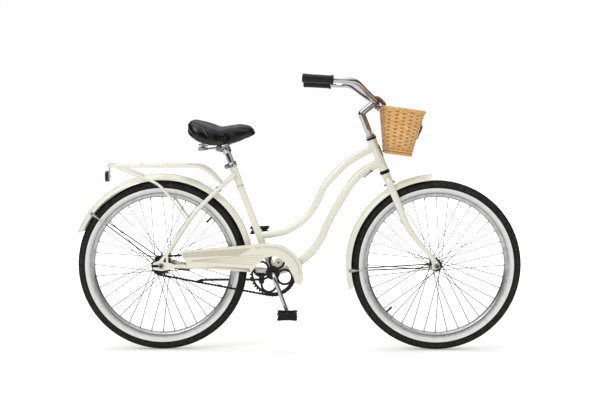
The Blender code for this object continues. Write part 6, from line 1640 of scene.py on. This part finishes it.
# ---- Saddle: a swollen vinyl pad, its top panel, piping and seams ----
PAD = mm((-434, 45, 863, 876), (-431, 72, 850, 890), (-424, 92, 843, 899), (-412, 105, 834, 905),
         (-396, 111, 823, 902.5), (-376, 113, 814.5, 898), (-356, 111, 807.2, 893), (-336, 104, 803.2, 886.8),
         (-318, 92, 801.2, 879.5), (-302, 77, 803, 876), (-286, 62, 805.5, 877.5), (-268, 50, 808.7, 880.6),
         (-248, 41, 813.5, 883.2), (-228, 36, 821, 885.8), (-208, 32, 830, 886.2), (-193, 29, 836, 884),
         (-182, 24, 841, 878.5), (-174.5, 16.5, 846, 870), (-170, 7.5, 850, 860.5))
PAD_LINE = flow(PAD, 64)


def pad_at(x):
    """The pad's half width, skirt and crown at each x."""
    return [np.interp(x, PAD_LINE[:, 0], PAD_LINE[:, k]) for k in (1, 2, 3)]


def pad_share(points):
    """Height of each point between the skirt, 0, and the crown, 1."""
    _, low, high = pad_at(points[:, 0])
    return (points[:, 2] - low) / (high - low)


def pad_form(shrink):
    """The pad's closed skin: each section runs from the crown over the side to the skirt, and up inside to the roof."""
    rows = []
    for x, half, low, high in PAD_LINE:
        half, high = max(half - shrink, 0.004), high - shrink
        rise, wall = high - low, min(0.006, 0.35 * half)
        roof = max(0.844, low + 0.22 * rise)
        top = flow([(0.0, high), (0.4 * half, high - 0.015 * rise), (0.7 * half, high - 0.08 * rise),
                    (0.9 * half, high - 0.25 * rise), (half, low + 0.4 * rise), (0.99 * half, low)], 18)
        inside = [(0.99 * half - wall, low), (half - 1.2 * wall, roof - 0.1 * rise), (half - 2.2 * wall, roof)]
        right = np.vstack([top, inside])
        ring = np.vstack([right, [(0.0, roof)], right[:0:-1] * (-1, 1)])
        rows.append(fronting(*ring.T, x))
    return outward(grid(np.stack(rows), caps=True))


def fetch(collection, key):
    """Three values to each item of a mesh's collection, as a table."""
    values = np.empty(len(collection) * 3, np.float32)
    collection.foreach_get(key, values)
    return values.reshape(-1, 3).astype(float)


def read(piece):
    """A piece's points as its modifiers leave them."""
    return fetch(piece.evaluated_get(bpy.context.evaluated_depsgraph_get()).data.vertices, "co")


def normals(piece):
    return fetch(piece.data.vertex_normals, "vector")


def move(piece, points):
    piece.data.vertices.foreach_set("co", np.ascontiguousarray(points, np.float32).ravel())
    piece.data.update()


def swell(piece, most):
    """Blows the pad up as cloth under pressure, and keeps each outer point's way up to the given length."""
    start, face = read(piece), normals(piece)
    cloth = piece.modifiers.new("swell", "CLOTH")
    cloth.settings.use_pressure = True
    cloth.settings.uniform_pressure_force = 4.0
    cloth.settings.effector_weights.gravity = 0.0
    for number in range(1, 21):
        bpy.context.scene.frame_set(number)
    way = read(piece) - start
    piece.modifiers.clear()
    bpy.context.scene.frame_set(1)
    length = np.linalg.norm(way, axis=1, keepdims=True)
    way = way * np.minimum(1.0, most / np.maximum(length, 1e-9))
    out = unit(level(0, np.sign(start[:, 1]), 0.6))
    outer = np.clip((np.sum(face * out, 1) + 0.15) / 0.45, 0, 1) * np.clip(pad_share(start) / 0.12, 0, 1)
    move(piece, start + way * outer[:, None])


SEAM_X = (-0.4325, -0.418, -0.3725, -0.33, -0.2957, -0.2627, -0.2169, -0.19, -0.176)
SPLIT_Z, SPLIT_X = (0.806, 0.8128, 0.8297, 0.848, 0.872), (-0.3345, -0.3366, -0.342, -0.3523, -0.369)
SEAM_SHARE = (0.9, 0.89, 0.8, 0.72, 0.71, 0.79, 0.79, 0.81, 0.84)
pad = put("saddle_pad_swollen", pad_form(0.0028), "saddle", ["saddle_vinyl", "quilted_vinyl"], "saddle_pad",
          sharp=180)
shrunk = pad.modifiers.new("voxels", "REMESH")
shrunk.mode, shrunk.voxel_size = "VOXEL", 0.0045
keep_modifiers(pad)
swell(pad, 0.0048)
finer = pad.modifiers.new("finer", "SUBSURF")
finer.levels = finer.render_levels = 1
keep_modifiers(pad)
points, face = read(pad), normals(pad)
share = pad_share(points)
seam = np.interp(points[:, 0], SEAM_X, SEAM_SHARE)
# The needle draws the vinyl in along the seam by 1.6 mm exp(-(d / 5%)2), d the distance in height shares
outside = np.clip((share - 0.12) / 0.1, 0, 1) * (face[:, 2] > -0.55)
groove = np.exp(-((share - seam) / 0.05) ** 2) * outside
split = np.interp(points[:, 2], SPLIT_Z, SPLIT_X)
side_seam = np.exp(-((points[:, 0] - split) / 0.0022) ** 2) * outside * (share < seam) * (np.abs(points[:, 1]) > 0.03)
groove = np.maximum(groove, 0.8 * side_seam)
move(pad, points - 0.0016 * groove[:, None] * face)
# The top panel takes the lighter vinyl: painted light on the saddle's top
middle = fetch(pad.data.polygons, "center")
upper = (pad_share(middle) > np.interp(middle[:, 0], SEAM_X, SEAM_SHARE)) & (middle[:, 2] > 0.846)
pad.data.polygons.foreach_set("material_index", upper.astype(np.int32))
smooth(pad.data)


def laid(points, target, lift):
    """Points moved to the nearest place of a surface, then off it by the lift."""
    mesh = bpy.data.meshes.new("probe")
    mesh.from_pydata(np.asarray(points, float).tolist(), [], [])
    probe = stand("probe", mesh)
    wrap = probe.modifiers.new("wrap", "SHRINKWRAP")
    wrap.target, wrap.wrap_method, wrap.wrap_mode, wrap.offset = target, "NEAREST_SURFACEPOINT", "ABOVE_SURFACE", lift
    found = read(probe)
    bpy.data.objects.remove(probe)
    bpy.data.meshes.remove(mesh)
    return found


def on_pad(x, share):
    """Points near the pad's left skin at a height share, from the section's own curve."""
    half, low, high = pad_at(x)
    reach = half * np.interp(share, (0.0, 0.4, 0.75, 0.92, 0.985, 1.0), (0.99, 1.0, 0.9, 0.7, 0.4, 0.0))
    return upright(x, low + share * (high - low), reach)


x = np.concatenate([np.linspace(-0.4325, -0.418, 8), np.linspace(-0.412, -0.19, 60),
                    np.linspace(-0.187, -0.176, 8)])
edge = on_pad(x, np.interp(x, SEAM_X, SEAM_SHARE))
loop = np.vstack([edge, (edge * (1, -1, 1))[::-1]])
loop = flow(np.vstack([loop, loop[:1]]), 320)[:-1]
piping = sweep(laid(loop, pad, 0.0007), 0.0015, 10, up=UP, closed=True)
z = np.linspace(0.808, 0.869, 30)
split_x = np.interp(z, SPLIT_Z, SPLIT_X)
half, low, high = pad_at(split_x)
side_line = upright(split_x, z, half + 0.002)
thread, fold = (both(sweep(laid(line * (1, -1, 1), pad, lift), thick, 8, up=(1.0, 0.0, 0.3), dome=True))
                for line, lift, thick in ((side_line[18:], 0.0004, 0.001), (side_line[:19], 0.0001, 0.0009)))
hem_x = np.linspace(-0.42, -0.179, 90)
hem = on_pad(hem_x, 0.03)
put("saddle_piping", piping, "saddle", "saddle_vinyl")
put("saddle_side_thread", thread, "saddle", "waxed_thread")
put("saddle_side_folds", fold, "saddle", "saddle_vinyl")
put("saddle_hem", both(sweep(laid(hem, pad, 0.0002), 0.0013, 8, up=UP, dome=True)), "saddle", "saddle_vinyl")
sewn = []
for offset in (-0.055, 0.055):
    line = on_pad(hem_x[6:-4], np.interp(hem_x[6:-4], SEAM_X, SEAM_SHARE) + offset)
    line = flow(laid(line, pad, 0.0003), 150)
    step = unit(np.gradient(line, axis=0)) * 0.001
    sewn.append(wires(line - step, line + step, 0.00035, 6))
put("saddle_stitches", both(gather(*sewn)), "saddle", "saddle_vinyl")
# A steel cup under the pad holds the top of each spring
for name, side in BOTH_SIDES:
    seat_cup = turned(mm((3, -0.2), (15, -0.2), (15.6, -1), (15.6, -3.4), (14.6, -3.4), (14, -1.4), (3, -1.4)),
                      (SPRING_X, side * SPRING_Y, 0.844), UP, 40, ring=True)
    put("saddle_top_cup_" + name, seat_cup, "saddle", "dark_steel")


# ---- Kickstand and brake arm ----
PIVOT = np.array([-0.15, 0.052, 0.268])
STAND_AXIS = np.array([0.0, -math.cos(math.radians(15)), -math.sin(math.radians(15))])

plate = slab(eased(rect(-168, -134, -32, 42), 0.006), 0.296, 0.306, 0.0012, level)
web = slab(eased(mm((-160, 264), (-140, 264), (-139, 298), (-161, 298)), 0.004), 0.029, 0.0405, 0.001)
lug = turned(mm((5, 6.5), (10, 6.5), (11, 7.5), (11, 22), (10, 23), (5, 23)), PIVOT, STAND_AXIS, 40, ring=True)
top_bolt = gather(hex_bolt((-0.151, 0.0, 0.296), (0, 0, -1), 0.0078, 0.007),
                  turned(mm((10.5, 0), (10.5, 1.4)), (-0.151, 0.0, 0.2962), (0, 0, -1), 32))
put("kickstand_bracket_pressed", gather(plate, web, lug), "frame", "black_enamel", "kickstand_bracket")
put("kickstand_bolt", top_bolt, "frame", "zinc_plate")

LEG = mm((-150, 52, 268), (-154, 52, 268), (-250, 52, 268), (-360, 52.5, 267), (-390, 54, 264), (-406, 60, 257))
leg_line = flow(LEG, 90)
far = np.linspace(0, 1, 90)
leg_r = np.interp(far, (0, 0.06, 0.9, 1.0), (0.0062, 0.005, 0.005, 0.0048))
boss = turned(mm((9.2, -6.2), (10.5, -5.2), (10.5, 5.2), (9.2, 6.2)), PIVOT, STAND_AXIS, 40)
stand_pin = gather(turned(mm((4.3, -7), (4.3, 25.2)), PIVOT, STAND_AXIS, 24),
                   turned(mm((7.2, 0), (7.2, 1.2), (5, 2.6)), PIVOT - 0.0066 * STAND_AXIS, -STAND_AXIS, 28))
toe_at, toe_way = leg_line[-1], unit(leg_line[-1] - leg_line[-6])
toe = turned(mm((5.4, -24), (6.6, -23), (6.8, -4), (6.2, 0.6), (4.4, 2)), toe_at, toe_way, 32)
put("kickstand_leg_bent", gather(sweep(leg_line, leg_r, 20, dome=True), boss, stand_pin), "kickstand",
    "drawn_steel", "kickstand_leg")
put("kickstand_toe", toe, "kickstand", "moulded_black")

arm_outline = xz(REAR_HUB) + mm((-15, 0), (-9, 13), (8, 13), (60, -13.5), (102, -25), (102, -34), (60, -26.5),
                                (-4, -15))
arm_plate = put("brake_arm_stamped", slab(eased(arm_outline, 0.006), 0.048, 0.051, 0.0006), "frame", "dark_steel",
                "brake_arm")
cut(arm_plate, slab(circle(xz(REAR_HUB), 0.0054), 0.04, 0.06),
    slab(circle(xz(REAR_HUB) + mm(55, -18), 0.003, 24), 0.04, 0.06))
rib_line = xz(REAR_HUB) + mm((16, 1), (50, -15), (82, -25))
rib = sweep(upright(*flow(rib_line, 30).T, 0.051), [(0.0026, 0.0012)], 10, up=SIDE, dome=True)
# A clip ties the arm to the chain stay: two cheeks, a collar round the tube and one bolt through all
clip_x = REAR_HUB[0] + 0.09
cheek = eased(rect(-6, 6, 303, 334) + (clip_x, 0), 0.003)
clip = gather(*[slab(cheek, low, high, 0.0004) for low, high in ((0.042, 0.0436), (0.052, 0.0536))],
              turned(mm((10.2, -6), (11.2, -5.6), (11.2, 5.6), (10.2, 6)), (clip_x, 0.0478, 0.327), (1, 0, 0.01),
                     32))
put("brake_arm_rib", rib, "frame", "dark_steel")
put("brake_arm_clip", clip, "frame", "zinc_plate")
clip_bolt = gather(hex_bolt((clip_x, 0.0536, 0.3085), SIDE, 0.0052, 0.0042),
                   hex_bolt((clip_x, 0.042, 0.3085), -SIDE, 0.0056, 0.0044),
                   turned(mm((3, 0), (3, 16)), (clip_x, 0.04, 0.3085), SIDE, 16))
put("brake_arm_bolt", clip_bolt, "frame", "zinc_plate")
# Cone nut on the brake side
put("rear_cone_nut", turned(mm((5.6, 0), (12.5, 0), (12.5, 4), (11, 4.6), (5.6, 4.6)), REAR_HUB + 0.0512 * SIDE,
                            SIDE, 6, ring=True), "frame", "zinc_plate")

# Screws that hold the rear fender to the two bridges
screws = []
for bridge in (SEAT_BRIDGE, CHAIN_BRIDGE):
    way = unit(REAR_HUB - bridge)
    foot = REAR_HUB - (REAR_FENDER_R - 0.0012) * way
    screws.append(turned(mm((6.6, 0), (6, 1.4), (3, 2.4)), foot, way, 24))
put("fender_screws", gather(*screws), "frame", "cream_enamel")
# A bolt goes through each seat stay, square to it, and holds the bridge
way = unit(np.array([-0.015, 0.0, 0.017]))
bolts = []
for side in (-1, 1):
    at = np.array([-0.3175, 0.0386 * side, 0.6315])
    bolts += [turned(mm((2.8, -12), (2.8, 12)), at, way, 16), hex_bolt(at + 0.0082 * way, way, 0.0058, 0.0044),
              hex_bolt(at - 0.0082 * way, -way, 0.0058, 0.0044)]
put("stay_bridge_bolts", gather(*bolts), "frame", "zinc_plate")


# ---- Studio ----
def look(thing, place, aim):
    """Stands a lamp or the camera in its place, facing a point."""
    thing.location = place
    thing.rotation_euler = (Vector(aim) - Vector(place)).to_track_quat("-Z", "Y").to_euler()


def lamp(name, place, aim, size, watts):
    """Square soft box that faces its aim."""
    light = bpy.data.lights.new(name, "AREA")
    light.size, light.energy = size, watts
    look(stand(name, light), place, aim)


def studio():
    """Pale paper floor, white surroundings, three soft boxes and the photograph's camera."""
    side = np.array([-14.0, 14.0])
    points, tables = grid(level(*np.meshgrid(side, side, indexing="ij"), -0.0006), close_cols=False)
    mesh = bpy.data.meshes.new("paper_floor")
    mesh.from_pydata(points.tolist(), [], [f[::-1] for f in tables[0].tolist()])
    mesh.materials.append(material("studio_floor"))
    stand("paper_floor", mesh)

    world = bpy.context.scene.world or bpy.data.worlds.new("surroundings")
    bpy.context.scene.world = world
    world.use_nodes = True
    tree = world.node_tree
    tree.nodes.clear()
    path = add(tree, "LightPath")
    seen = add(tree, "Math", [path["Is Camera Ray"], path["Is Transmission Ray"]], operation="MAXIMUM")[0]
    height = add(tree, "SeparateXYZ", [add(tree, "TexCoord")["Generated"]])[2]
    glow = add(tree, "MapRange", [height, -0.35, 0.85, 0.4, 0.75])[0]
    glossy = add(tree, "MapRange", [height, 0.32, 0.72, 0.03, 1.0], interpolation_type="SMOOTHSTEP")[0]
    soft = add(tree, "Mix", {0: path["Is Glossy Ray"], 2: glow, 3: glossy})[0]
    strength = add(tree, "Mix", {0: seen, 2: soft, 3: 1.0})[0]
    back = add(tree, "Background", [(1.0, 1.0, 1.0, 1.0), strength])
    add(tree, "OutputWorld", [back[0]])

    lamp("key_box", (-2.5, -3.0, 3.2), (0.0, 0.0, 0.5), 2.2, 44.0)
    lamp("fill_box", (2.8, -3.6, 1.9), (0.1, 0.0, 0.5), 2.4, 9.0)
    lamp("top_box", (0.0, 0.3, 3.6), (0.0, 0.0, 0.0), 3.0, 30.0)

    lens = bpy.data.cameras.new("photograph")
    lens.lens, lens.sensor_width = 78.0, 36.0
    camera = stand("photograph", lens)
    look(camera, (0.058, -5.1, 0.895), (0.003, 0.0, 0.589))
    bpy.context.scene.camera = camera
    bpy.context.scene.view_settings.view_transform = "Standard"


studio()
